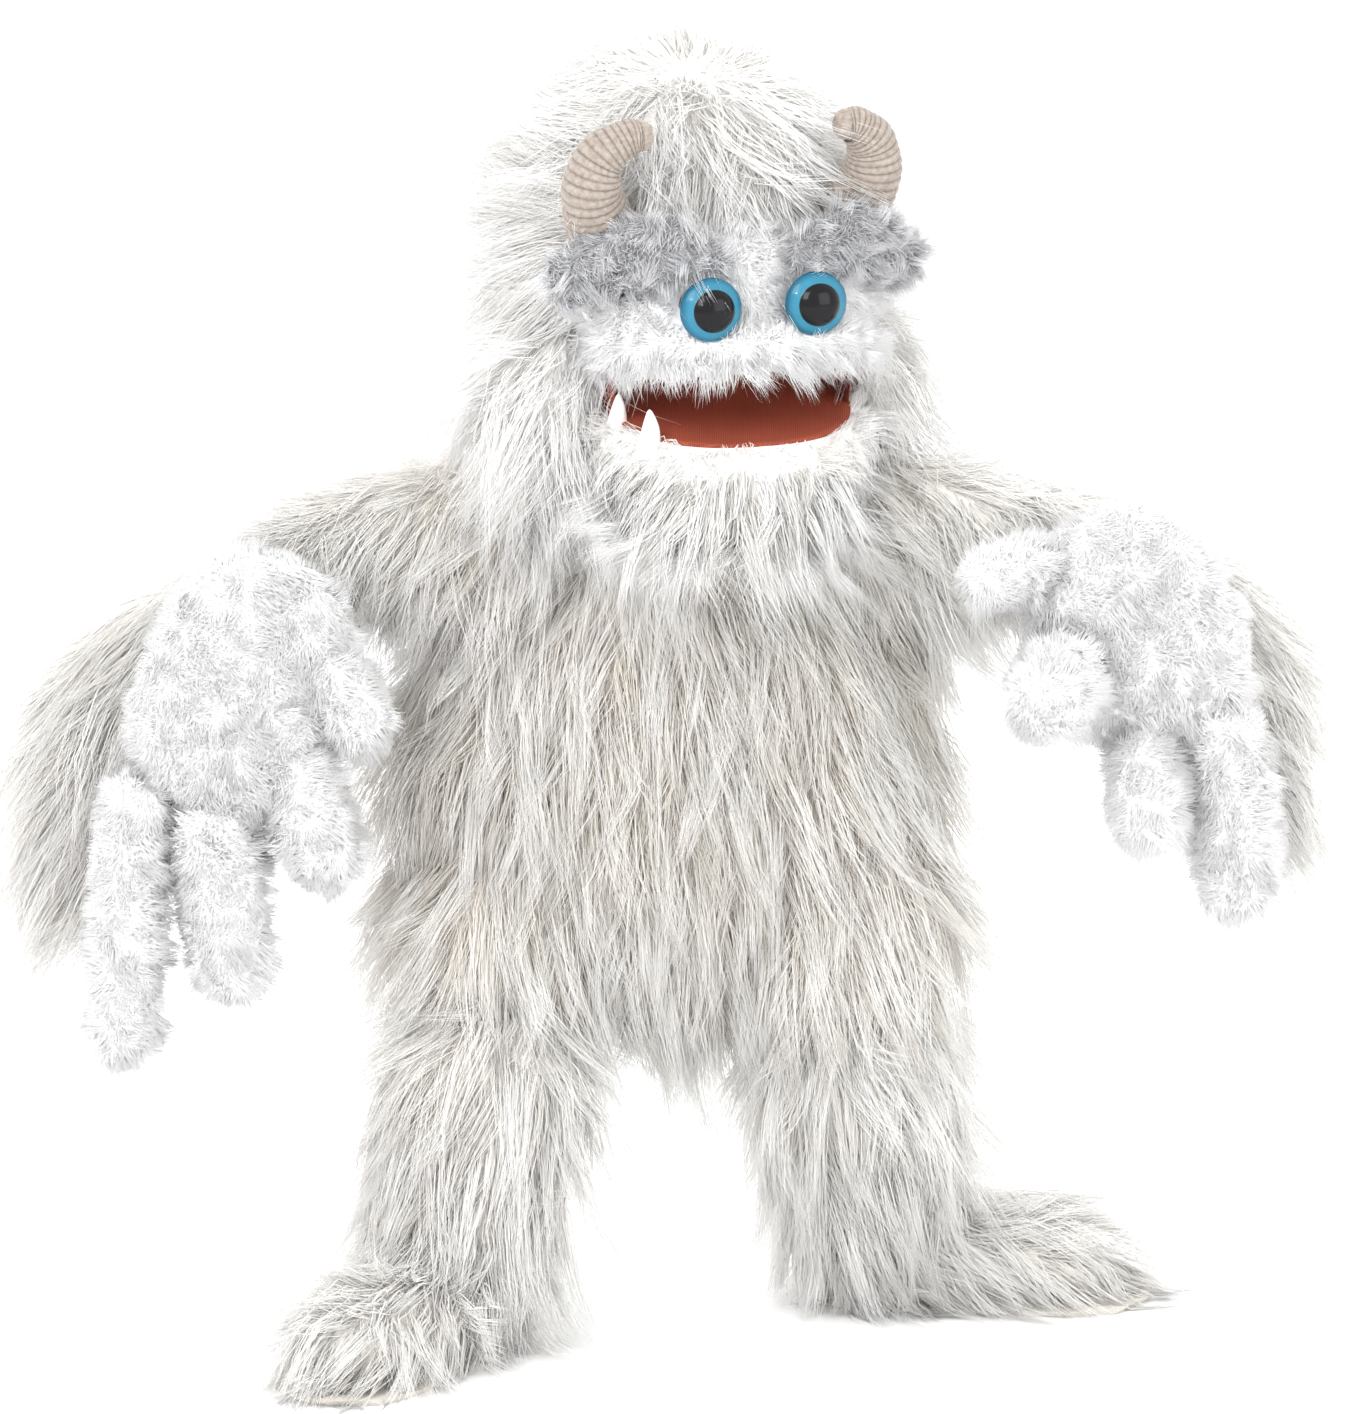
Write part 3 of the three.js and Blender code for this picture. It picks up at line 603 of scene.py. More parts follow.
@functools.cache
def pile_tree():
    """Tapered strands on a skin that follow its `comb` and `pile` attributes and gather into locks."""
    w = Wires("Pile", PILE_INPUTS)
    given = w.given
    cover = w.named("cover")
    dense = w.product(given["Density"], cover)
    roots = w.scattered(dense, given["Seed"])
    guide_seed = w.number("ADD", given["Seed"], 101.0)
    guides = w.scattered(given["Lock Density"], guide_seed)
    at = w.position()
    nearest = w.add("GeometryNodeSampleNearest", {"Geometry": guides, "Sample Position": at},
                    domain="POINT").outputs[0]
    guide = w.sampled(guides, at, nearest)
    guide_comb = w.sampled(guides, w.named("comb", "FLOAT_VECTOR"), nearest)
    lock_random = w.centred_noise(guide, 997.0)
    own_random = w.centred_noise(at, 1511.0)
    # direction: half from the lock's middle, half from the strand's own root
    comb = w.vector("ADD", guide_comb, w.named("comb", "FLOAT_VECTOR"))
    comb = w.vector("NORMALIZE", comb)
    comb = w.vector("ADD", comb, w.vector("SCALE", lock_random, scale=given["Stray"]))
    comb = w.vector("ADD", comb, w.vector("SCALE", own_random, scale=given["Frizz"]))
    comb = w.vector("NORMALIZE", comb)
    # length, and what the strand's own points need later
    lock_part, own_part = w.parts(lock_random), w.parts(own_random)
    reach = w.product(w.named("pile"), w.number("ADD", w.product(lock_part[0], 0.5), 0.95))
    reach = w.product(reach, w.number("ADD", w.product(own_part[1], 0.5), 0.9))
    pull = w.vector("SCALE", w.vector("SUBTRACT", guide, at), scale=given["Clump"])
    roots = w.store(roots, "pull", pull, "FLOAT_VECTOR")
    roots = w.store(roots, "bend", w.vector("SCALE", lock_random, scale=reach), "FLOAT_VECTOR")
    roots = w.store(roots, "fray", w.vector("SCALE", own_random, scale=reach), "FLOAT_VECTOR")
    roots = w.store(roots, "reach", reach)
    shade = w.number("ADD", w.product(lock_part[1], 1.3), w.product(own_part[2], 0.7))
    roots = w.store(roots, "tint", w.number("MAXIMUM", w.number("ADD", shade, 0.35), 0.0))
    # the strand: a three-sided spike, one unit long
    strand = w.add("GeometryNodeMeshCone", {
        "Vertices": 3, "Side Segments": given["Segments"],
        "Radius Top": 0.0, "Radius Bottom": 1.0, "Depth": 1.0,
    }, fill_type="NONE").outputs["Mesh"]
    height = w.parts(w.position())[2]
    strand = w.store(strand, "along", height)
    aim = w.add("FunctionNodeAlignRotationToVector", {"Vector": comb}, axis="Z").outputs[0]
    thick = w.product(given["Width"], w.number("ADD", own_part[0], 1.0))
    thick = w.product(thick, 0.5)
    grown = w.add("GeometryNodeInstanceOnPoints", {
        "Points": roots, "Instance": strand, "Rotation": aim, "Scale": w.joined(thick, thick, reach),
    }).outputs[0]
    grown = w.add("GeometryNodeRealizeInstances", {"Geometry": grown}).outputs[0]
    # the lie of each strand: pulled to its lock, swayed with the lock, curled alone, and sagging
    along = w.named("along")
    squared = w.product(along, along)
    ease = w.product(along, w.number("SUBTRACT", 2.0, along))
    move = w.vector("SCALE", w.named("pull", "FLOAT_VECTOR"), scale=ease)
    sway = w.product(w.number("SUBTRACT", squared, w.product(along, 0.55)), given["Wave"])
    sway = w.product(sway, 3.0)
    move = w.vector("ADD", move, w.vector("SCALE", w.named("bend", "FLOAT_VECTOR"), scale=sway))
    curl = w.product(w.number("SINE", w.product(along, 5.2)), w.product(given["Wave"], 0.35))
    move = w.vector("ADD", move, w.vector("SCALE", w.named("fray", "FLOAT_VECTOR"), scale=curl))
    sag = w.product(w.product(squared, given["Droop"]), w.named("reach"))
    move = w.vector("SUBTRACT", move, w.joined(z=sag))
    grown = w.add("GeometryNodeSetPosition", {"Geometry": grown, "Offset": move}).outputs[0]
    # no strand goes through the floor
    here = w.parts(w.position())
    lifted = w.joined(here[0], here[1], w.number("MAXIMUM", here[2], given["Floor"]))
    grown = w.add("GeometryNodeSetPosition", {"Geometry": grown, "Position": lifted}).outputs[0]
    grown = w.add("GeometryNodeSetShadeSmooth", {"Geometry": grown, "Shade Smooth": True}).outputs[0]
    grown = w.add("GeometryNodeSetMaterial", {"Geometry": grown, "Material": given["Material"]}).outputs[0]
    return w.finish(grown)


def set_inputs(modifier, values):
    """Sets a modifier's inputs by the name of the socket, through its identifier."""
    sockets = {s.name: s.identifier for s in modifier.node_group.interface.items_tree if s.in_out == "INPUT"}
    for name, value in values.items():
        modifier[sockets[name]] = value


def surface_of(made):
    """Places and outward normals of a skin's points, in the row frame."""
    mesh = made.data
    points, normals = np.zeros(len(mesh.vertices) * 3), np.zeros(len(mesh.vertices) * 3)
    mesh.vertices.foreach_get("co", points)
    mesh.vertices.foreach_get("normal", normals)
    return points.reshape(-1, 3), normals.reshape(-1, 3)


def write_attribute(mesh, name, kind, values):
    """Gives a mesh's points an attribute."""
    attribute = mesh.attributes.get(name) or mesh.attributes.new(name, kind, "POINT")
    attribute.data.foreach_set("vector" if kind == "FLOAT_VECTOR" else "value", np.ravel(values))


def grow(name, skin, comb, pile, cover, material, **inputs):
    """Grows pile on a skin and returns the strands as one plain mesh."""
    points, normals = surface_of(skin)
    write_attribute(skin.data, "comb", "FLOAT_VECTOR", unit(comb(points, normals)))
    write_attribute(skin.data, "pile", "FLOAT", pile(points, normals))
    write_attribute(skin.data, "cover", "FLOAT", np.clip(cover(points, normals), 0, 1))
    made = new_object(name, skin.data.copy())
    modifier = made.modifiers.new("Pile", "NODES")
    modifier.node_group = pile_tree()
    seed = bpy.context.scene.yeti_pile.seed + sum(ord(c) for c in name)
    set_inputs(modifier, {"Floor": FLOOR + 0.0006, "Seed": seed, "Material": material, **inputs})
    applied(made, name)
    for extra in ("pull", "bend", "fray", "reach", "comb", "pile", "cover"):
        if extra in made.data.attributes:
            made.data.attributes.remove(made.data.attributes[extra])
    hold_in(made.data)
    return made


ALLOWED_SHARE = 0.03
ALLOWED_REACH = 0.0095


def hold_in(mesh, soft=0.008):
    """Bends the tips that would stand out past the frame's box and a small margin round it.
    Bends the tips that would stand out of the space that the puppet may fill.
    """
    points = np.zeros(len(mesh.vertices) * 3)
    mesh.vertices.foreach_get("co", points)
    points = points.reshape(-1, 3)
    low, high = (np.array(corner) for corner in CAD_BOX)
    side = (high - low) * ALLOWED_SHARE + ALLOWED_REACH
    for limit, sign in ((high + side, 1), (low - side, -1)):
        knee = limit - sign * soft
        over = np.maximum((points - knee) * sign, 0)
        points = np.where(over > 0, knee + sign * soft * np.tanh(over / soft), points)
    mesh.vertices.foreach_set("co", points.ravel())
    mesh.update()


def unit(vectors):
    """Vectors of length one."""
    return vectors / np.maximum(np.linalg.norm(vectors, axis=1, keepdims=True), 1e-9)


def ramp(values, low, high):
    """0 below low, 1 above high, and smooth between them."""
    t = np.clip((values - low) / (high - low), 0, 1)
    return t * t * (3 - 2 * t)


def flow(normals, way, lift):
    """A lie along the skin: `way` without its part through the skin, raised off it by `lift`."""
    along = way - normals * np.sum(way * normals, axis=1, keepdims=True)
    return along / np.maximum(np.linalg.norm(along, axis=1, keepdims=True), 0.3) + normals * lift


def across(values):
    """Directions along the first axis, by `values`."""
    return np.stack([values, np.zeros(len(values)), np.zeros(len(values))], 1)


def constant(value):
    """The same value all over a skin."""
    return lambda points, normals: np.full(len(points), float(value))


LONG = {"Segments": 3, "Clump": 0.5, "Stray": 0.28, "Frizz": 0.22, "Wave": 0.36, "Droop": 0.16}
PLUSH = {"Segments": 1, "Clump": 0.12, "Stray": 0.55, "Frizz": 1.0, "Wave": 0.5, "Droop": 0.05}


def strands(style, density, locks, width, **changes):
    """Inputs of the pile's tree: strands and locks on a square metre, and the width of a strand."""
    return {**style, "Density": density, "Lock Density": locks, "Width": width, **changes}


def ride_all(body, *pieces):
    """Lets pieces move with a body."""
    for piece in pieces:
        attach(piece, body)


def dress(made, material):
    """Gives a piece its one material."""
    made.data.materials.clear()
    made.data.materials.append(material)
    return made


# ---------------------------------------------------------------- operators
class YETI_OT_stage(bpy.types.Operator):
    """Sets up the camera, the pale floor and the soft lights"""

    bl_idname = "yeti.stage"
    bl_label = "Stage"

    def execute(self, context):
        stage = context.scene.yeti_stage
        data = bpy.data.cameras.new("camera")
        sensor = 36.0
        data.sensor_fit, data.sensor_width = "HORIZONTAL", sensor
        data.lens = sensor * stage.distance / stage.frame_width
        data.clip_end = 20
        camera = new_object("camera", data)
        back = Vector((0, -math.cos(stage.elevation), math.sin(stage.elevation)))
        aim = Vector(stage.aim)
        camera.location = aim + back * stage.distance
        camera.rotation_euler = (math.pi / 2 - stage.elevation, 0, 0)
        context.scene.camera = camera
        self.floor(stage)
        self.lights(context, stage)
        context.scene.view_settings.view_transform = "Standard"
        return {"FINISHED"}

    def floor(self, stage):
        """A wide flat sheet that reaches past the view from every side."""
        half = 14.0
        corners = [(-half, -half, FLOOR), (half, -half, FLOOR), (half, half, FLOOR), (-half, half, FLOOR)]
        mesh = bpy.data.meshes.new("floor")
        mesh.from_pydata(corners, [], [(0, 1, 2, 3)])
        floor = new_object("floor", mesh)
        floor.data.materials.append(floor_material(stage.floor))

    def lights(self, context, stage):
        """An even white room with a key, a fill, a rim and a small catch light for the eyes."""
        sky, puppet = 1.41, Vector((0, 0, 0.32))
        world = bpy.data.worlds.new("studio")
        world.use_nodes = True
        background = world.node_tree.nodes["Background"]
        background.inputs["Color"].default_value = (1.0, 1.0, 1.0, 1.0)
        background.inputs["Strength"].default_value = sky * stage.brightness
        context.scene.world = world
        for name, at, size, power in (
            ("key", (-1.1, -1.9, 1.9), 1.3, 41.0),
            ("fill", (1.9, -1.7, 1.0), 1.6, 19.0),
            ("rim", (0.5, 1.6, 1.9), 1.4, 12.0),
            ("catch", (-0.9, -2.6, 1.5), 0.12, 4.0),
        ):
            data = bpy.data.lights.new(name, "AREA")
            data.size, data.energy = size, power * stage.brightness
            light = new_object(name, data)
            light.location = at
            aim = puppet - Vector(at)
            light.rotation_euler = aim.to_track_quat("-Z", "Y").to_euler()


def floor_material(shade):
    """Pale and very slightly mottled."""
    shader = Shader("floor", 0.9)
    mottle = shader.noise(2.0, 2.0)
    shader.colour(shader.ramp(mottle, (0.2, tuple(shade)), (0.8, tuple(c * 1.015 for c in shade))))
    return shader.material


class YETI_OT_torso(bpy.types.Operator):
    """Makes the body's cloth and its long pile"""

    bl_idname = "yeti.torso"
    bl_label = "Body"

    def execute(self, context):
        pile = context.scene.yeti_pile
        low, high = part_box("body_fur")
        centre, half = (low + high) / 2, (high - low) / 2
        deep = pile.backing
        shape = Shape()
        shape.ball((centre.x, centre.y, centre.z - 0.012),
                   (half.x - deep * 0.72, half.y - deep, half.z - deep * 0.9))
        shape.ball((centre.x, centre.y, low.z + 0.10), (half.x - deep * 0.9, half.y - deep, 0.078))
        shape.ball((centre.x - 0.008, centre.y, centre.z - 0.004),
                   (half.x - 0.006, half.y - deep * 1.1, 0.082))
        shape.ball((centre.x, centre.y, high.z - 0.085),
                   (half.x - deep * 0.8, half.y - deep * 1.1, 0.082))
        neck = place("head_tip_back")
        shape.limb([(neck.x, neck.y, high.z - 0.05), (neck.x, neck.y, neck.z + 0.01)],
                   [0.062, 0.05], flat=0.8)
        for side in SIDES:
            shoulder = place(f"{side}_shoulder_raise")
            shape.ball(shoulder + Vector((-0.25 * shoulder.x, 0, 0)), (0.040, 0.032, 0.034))
            hip = place(f"{side}_hip_swing")
            shape.ball((hip.x * 0.92, centre.y - 0.004, low.z + 0.052), (0.050, 0.050, 0.052))
        skin = fused("body_cloth", shape)
        self.open_back(skin)
        material = pile_material("cream_pile", pile.cream_root, pile.cream_tip, 0.55)
        dress(skin, backing_material("cream_backing", pile.cream_root, pile.cream_tip))

        def comb(p, n):
            high_up = ramp(p[:, 2:3], 0.33, 0.39)
            way = DOWN + across(p[:, 0] - centre.x) * (1.6 + 9.0 * high_up) + np.array([0, -0.5, 0]) * high_up
            return flow(n, way, 0.46 - 0.14 * high_up + 0.16 * (n[:, 0:1] < -0.4))

        def reach(p, n):
            low_down, high_up = ramp(-p[:, 2], -0.22, -0.16), ramp(p[:, 2], 0.36, 0.42)
            at_the_back = n[:, 1] > 0.3
            return pile.long_hair * (1.0 + 0.14 * low_down - 0.15 * high_up) * (1 - 0.25 * at_the_back)

        def under_head(p):
            return p[:, 2] < 0.41

        def front(p, n):
            return 1.0 * (n[:, 1] <= 0.1) * under_head(p)

        pieces = []
        parts = {
            "body_pile_right": lambda p, n: front(p, n) * (p[:, 0] < centre.x),
            "body_pile_left": lambda p, n: front(p, n) * (p[:, 0] >= centre.x),
            "body_pile_back": lambda p, n: 0.38 * (n[:, 1] > 0.1) * under_head(p) * (1 - self.near_entry(p)),
        }
        for name, cover in parts.items():
            made = grow(name, skin, comb, reach, cover, material, **strands(
                LONG, pile.hair_per_m2, 11500.0, pile.hair_width))
            pieces.append(made)
        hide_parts("body_fur", "body_stuffing")
        ride_all("torso", skin, *pieces)
        return {"FINISHED"}

    def entry(self):
        """The way in for the hand, as the record's opening states it."""
        opening = named(frame["record"]["physics"]["openings"], "back_entry")
        low, high = (Vector(corner) for corner in opening["box_m"])
        rim, past_the_back = 0.006, 0.05
        return low - Vector((rim, 0, rim)), high + Vector((rim, past_the_back, rim))

    def near_entry(self, p):
        """1 where the pile would hang into the way in."""
        low, high = self.entry()
        rim, above = 0.004, 0.012
        inside = (p[:, 0] > low.x - rim) & (p[:, 0] < high.x + rim)
        return (inside & (p[:, 2] > low.z - rim) & (p[:, 2] < high.z + above) & (p[:, 1] > low.y)) * 1.0

    def open_back(self, skin):
        """Cuts the entry for the hand out of the back."""
        low, high = self.entry()
        corners = [(x, y, z) for x in (low.x, high.x) for y in (low.y, high.y) for z in (low.z, high.z)]
        faces = [(0, 1, 3, 2), (4, 6, 7, 5), (0, 4, 5, 1), (2, 3, 7, 6), (0, 2, 6, 4), (1, 5, 7, 3)]
        mesh = bpy.data.meshes.new("entry")
        mesh.from_pydata(corners, [], faces)
        cutter = new_object("entry", mesh)
        modifier = skin.modifiers.new("Entry", "BOOLEAN")
        modifier.operation, modifier.object, modifier.solver = "DIFFERENCE", cutter, "EXACT"
        applied(skin, "body_cloth")
        bpy.data.objects.remove(cutter)


class YETI_OT_head(bpy.types.Operator):
    """Makes the head's cloth and its mane"""

    bl_idname = "yeti.head"
    bl_label = "Head"

    def execute(self, context):
        pile = context.scene.yeti_pile
        turn = HEAD.to_3x3()
        shape = Shape()
        shape.ball(head_point(0, 16, 506), (0.083, 0.074, 0.088), turn)
        shape.ball(head_point(0, 22, 455), (0.084, 0.060, 0.060), turn)
        for side in (-1, 1):
            shape.ball(head_point(side * 76, -4, 446), (0.018, 0.036, 0.040), turn)
        skin = fused("head_cloth", shape)
        self.clear_mouth(skin)
        dress(skin, backing_material("white_backing", pile.white_root, pile.white_tip))
        material = pile_material("white_pile", pile.white_root, pile.white_tip, 0.28, (0.86, 0.80, 0.70))

        def comb(p, n):
            q, m = in_head(p), head_normals(n)
            away = (q - np.array([0.0, -0.09, 0.515])) * np.array([1.0, 0.35, 1.0])
            fall = ramp(-q[:, 2:3], -0.53, -0.44)
            tuft = ramp(-np.abs(q[:, 0:1]), -0.060, -0.036) * ramp(-q[:, 1:2], -0.018, 0.008)
            locks = DOWN * 1.2 + across(q[:, 0] * 9)
            way = unit(away) * (1 - fall) * (1 - tuft) + DOWN * 1.1 * fall + locks * tuft
            return from_head(flow(m, way, 0.62 * (1 - tuft) + 0.50 * tuft))

        def reach(p, n):
            q = in_head(p)
            low = ramp(-q[:, 2], -0.50, -0.44)
            aside = ramp(np.abs(q[:, 0]), 0.002, 0.012)
            face = ramp(-q[:, 1], 0.03, 0.06) * ramp(q[:, 2], 0.50, 0.52) * aside
            lee = 0.26 * ramp(q[:, 0], 0.0, 0.07) - 0.12
            back = ramp(q[:, 1], 0.05, 0.08)
            return pile.head_hair * (1.0 + 0.08 * low) * (1 - 0.5 * face) * (1 - lee) * (1 - 0.3 * back)

        def bare(p):
            """Where the face's own pieces cover the head."""
            q = in_head(p)
            front = ramp(-q[:, 1], 0.036, 0.050)
            between_brows = np.abs(q[:, 0]) < 0.016
            top = np.where(between_brows, 0.514, 0.528)
            under_brows = (q[:, 2] < top) * ramp(-np.abs(q[:, 0]), -0.080, -0.070)
            mouth = (np.abs(q[:, 0]) < 0.066) * (q[:, 2] < 0.475) * (q[:, 1] < 0.004)
            return np.clip(front * under_brows + mouth, 0, 1)

        pieces = []
        for name, side in (("head_pile_right", -1), ("head_pile_left", 1)):
            def cover(p, n, side=side):
                q = in_head(p)
                seen = 1.0 - 0.58 * ramp(q[:, 1], 0.0, 0.05)
                return seen * (1 - bare(p)) * (q[:, 0] * side > 0)

            made = grow(name, skin, comb, reach, cover, material, **strands(
                LONG, pile.hair_per_m2 * 1.1, 13000.0, pile.hair_width * 0.95,
                Droop=0.14, Stray=0.42, Wave=0.45))
            pieces.append(made)
        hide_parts("head_fur", "head_foam")
        ride_all("head", skin, *pieces)
        return {"FINISHED"}

    def clear_mouth(self, skin):
        """Lifts and pushes the cloth out of the room between the mouth's plates."""
        slope, back = math.tan(math.radians(UPPER_LEAN)), HINGE_FORWARD
        under, low = MOUTH_Z * MM + 0.007, 0.448
        for vertex in skin.data.vertices:
            q = HEAD_BACK @ vertex.co
            roof = under + (back - q.y) * slope
            if q.y < back and q.z < roof and abs(q.x) < 0.068:
                q.y = max(q.y, back) if q.z < low else q.y
                q.z = roof if q.z >= low else q.z
                vertex.co = HEAD @ q


class YETI_OT_muzzle(bpy.types.Operator):
    """Makes the short plush of the face above the mouth"""

    bl_idname = "yeti.muzzle"
    bl_label = "Muzzle"

    def execute(self, context):
        pile = context.scene.yeti_pile
        turn = HEAD.to_3x3()
        shape = Shape()
        shape.ball(head_point(0, -38, 490), (0.070, 0.044, 0.022), turn)
        shape.ball(head_point(0, -46, 503), (0.054, 0.034, 0.026), turn)
        lip(shape, UPPER_LEAN, 10.5, 9.5, -1.0)
        skin = fused("muzzle_cloth", shape, voxel=0.004)
        material = pile_material("white_plush", pile.plush_root, pile.plush_tip, 0.1)
        dress(skin, backing_material("plush_backing", pile.plush_root, pile.plush_tip))

        def comb(p, n):
            q, m = in_head(p), head_normals(n)
            edge = ramp(-q[:, 2:3], -0.484, -0.470)
            return from_head(m * (1 - 0.35 * edge) + DOWN * (0.35 + 0.9 * edge) + across(q[:, 0] * 7))

        def reach(p, n):
            q = in_head(p)
            return pile.plush_hair * (0.95 + 0.45 * ramp(-q[:, 2], -0.484, -0.468))

        def cover(p, n):
            q, m = in_head(p), head_normals(n)
            for side in SIDES:
                eye = in_head(np.array([middle(f"{side}_eye_washer")]))[0]
                seat = np.hypot(q[:, 0] - eye[0], q[:, 2] - eye[2])
                m[:, 2] = np.where(seat < 0.0155, -1.0, m[:, 2])
            inner = (q[:, 2] < 0.480) & ((m[:, 1] > 0.25) | (mouth_share(q) < 0.85))
            return 1.0 * (q[:, 1] < -0.012) * (m[:, 2] > -0.75) * ~inner

        pelt = grow("muzzle_pile", skin, comb, reach, cover, material, **strands(
            PLUSH, pile.plush_per_m2, 24000.0, pile.plush_width))
        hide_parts("muzzle_plush")
        ride_all("head", skin, pelt)
        return {"FINISHED"}


class YETI_OT_jaw(bpy.types.Operator):
    """Makes the chin and the beard"""

    bl_idname = "yeti.jaw"
    bl_label = "Jaw and beard"

    def execute(self, context):
        pile = context.scene.yeti_pile
        turn = HEAD.to_3x3()
        shape = Shape()
        shape.ball(head_point(0, -38, 420), (0.062, 0.046, 0.020), turn)
        shape.ball(head_point(0, -52, 408), (0.052, 0.032, 0.020), turn)
        lip(shape, -LOWER_LEAN, -9.5, 8.5, -2.5, rise=6.0)
        lean = math.radians(LOWER_LEAN)
        skin = fused("chin_cloth", shape, voxel=0.004)
        material = bpy.data.materials["white_pile"]
        dress(skin, bpy.data.materials["white_backing"])

        def under_edge(q):
            """How far a point is under the lower plate, in metres."""
            return MOUTH_Z * MM + (q[:, 1] - HINGE_FORWARD) * math.tan(lean) - q[:, 2]

        def comb(p, n):
            q, m = in_head(p), head_normals(n)
            rim = 1 - ramp(under_edge(q)[:, None], 0.005, 0.014)
            away = unit((q + np.array([0, 0.038, 0])) * np.array([1, 1, 0]))
            way = DOWN + across(q[:, 0] * 13) + away * 0.3
            standing = m * 0.45 + away * 0.9 - DOWN * 0.35
            return from_head(flow(m, way, 0.45) * (1 - rim) + standing * rim)

        def reach(p, n):
            q = in_head(p)
            return pile.beard_hair * (0.32 + 0.68 * ramp(under_edge(q), 0.006, 0.026))

        def cover(p, n):
            q, m = in_head(p), head_normals(n)
            seen = (m[:, 2] < 0.1) | (mouth_share(q) > 0.86)
            return seen * (q[:, 1] < -0.008) * (0.35 + 0.65 * (q[:, 1] < -0.03))

        beard = grow("beard_pile", skin, comb, reach, cover, material, **strands(
            LONG, pile.hair_per_m2 * 2.0, 17000.0, pile.hair_width * 0.85, Stray=0.42, Wave=0.45))
        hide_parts("chin_plush", "beard_fur")
        ride_all("jaw", skin, beard)
        return {"FINISHED"}


def limb_pile(name, skin, material, sway, reach, density, cover=constant(1.0)):
    """Long pile that falls over a limb and leans by `sway`."""
    pile = bpy.context.scene.yeti_pile

    def comb(p, n):
        return flow(n, DOWN + np.array(sway), 0.42)

    made = grow(name, skin, comb, constant(reach), cover, material, **strands(
        LONG, pile.hair_per_m2 * density, 11000.0, pile.hair_width))
    return made


class YETI_OT_arms(bpy.types.Operator):
    """Makes both sleeves and the long pile on them"""

    bl_idname = "yeti.arms"
    bl_label = "Arms"

    def execute(self, context):
        pile = context.scene.yeti_pile
        cream = pile_material("pale_cream_pile", pile.white_root, pile.cream_tip, 0.25)
        backing = bpy.data.materials["cream_backing"]
        for side, sign in SIGNED_SIDES:
            shoulder = place(f"{side}_shoulder_raise")
            elbow, wrist = place(f"{side}_elbow_straighten"), place(f"{side}_wrist_bend")
            low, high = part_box(f"{side}_hand_back")
            inset, bulge, hand_hair = (0.027, 0.019, 1.2) if sign < 0 else (0.036, 0.012, 0.92)
            tip = Vector((low.x if sign < 0 else high.x, middle(f"{side}_hand_back").y, low.z))
            tip -= Vector((sign * inset, 0, -0.036))
            for name, body, ends, radii in (
                ("upper_arm", f"{side}_upper_arm", (shoulder, elbow), (0.027, 0.022)),
                ("lower_sleeve", f"{side}_forearm", (elbow, wrist), (0.022, 0.019)),
            ):
                skin = fused(f"{side}_{name}_cloth", Shape().limb(ends, radii))
                dress(skin, backing)
                made = limb_pile(f"{side}_{name}_pile", skin, cream, (sign * 0.45, -0.1, 0),
                                 pile.long_hair, 0.9)
                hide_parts(body)
                ride_all(body, skin, made)
            start = wrist.lerp(tip, 0.16)
            bow = wrist.lerp(tip, 0.5) + Vector((sign * bulge, 0, 0.006))
            skin = fused(f"{side}_glove_back_cloth", Shape().limb(
                [start, bow, tip], [0.036, 0.037, 0.026], flat=0.36, sides=24))
            dress(skin, backing)
            made = limb_pile(f"{side}_glove_back_pile", skin, cream, (sign * 0.7, 0.0, 0),
                             pile.long_hair * hand_hair, 0.85)
            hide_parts(f"{side}_hand_back")
            ride_all(f"{side}_hand", skin, made)
        return {"FINISHED"}


class YETI_OT_gloves(bpy.types.Operator):
    """Makes the plush palms and fingers of the gloves"""

    bl_idname = "yeti.gloves"
    bl_label = "Gloves"

    def execute(self, context):
        pile = context.scene.yeti_pile
        plush = bpy.data.materials["white_plush"]
        backing = bpy.data.materials["plush_backing"]
        for side in SIDES:
            low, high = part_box(f"{side}_palm")
            centre, half = (low + high) / 2, (high - low) / 2
            nap = pile.plush_hair * 0.45
            radius = half.x - nap * 1.5
            lean = Vector((-0.006 if side == "right" else 0.006, 0, 0))
            rise = Vector((0, 0, half.z - radius - nap))
            shape = Shape().limb([centre + rise - lean, centre - rise + lean], [radius * 0.92, radius],
                                 flat=(half.y - nap) / radius, sides=26)
            shape.ball(centre + rise * 1.1 - lean * 3.6, (radius * 0.62, half.y - nap, radius * 0.62))
            skin = fused(f"{side}_palm_cloth", shape, voxel=0.004)
            self.cover(f"{side}_palm", skin, f"{side}_hand", plush, backing, pile)
            for finger in FINGERS:
                root = place(f"{side}_{finger}_curl")
                reach = (middle(f"{side}_{finger}") - root) * 2
                radius = min((b - a) for a, b in zip(*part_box(f"{side}_{finger}"))) / 2 - nap
                shape = Shape().limb([root, root + reach * 0.5, root + reach],
                                     [radius, radius * 1.05, radius])
                skin = fused(f"{side}_{finger}_cloth", shape, voxel=0.004, smoothing=4)
                self.cover(f"{side}_{finger}", skin, f"{side}_{finger}", plush, backing, pile)
        return {"FINISHED"}

    def cover(self, node, skin, body, plush, backing, pile):
        """Grows plush on a palm or a finger and hangs both on their body."""
        dress(skin, backing)

        def comb(p, n):
            return n + DOWN * 0.25

        made = grow(f"{node}_pile", skin, comb, constant(pile.plush_hair), constant(1.0), plush, **strands(
            PLUSH, pile.plush_per_m2 * 0.85, 17000.0, pile.plush_width * 1.1))
        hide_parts(node)
        ride_all(body, skin, made)


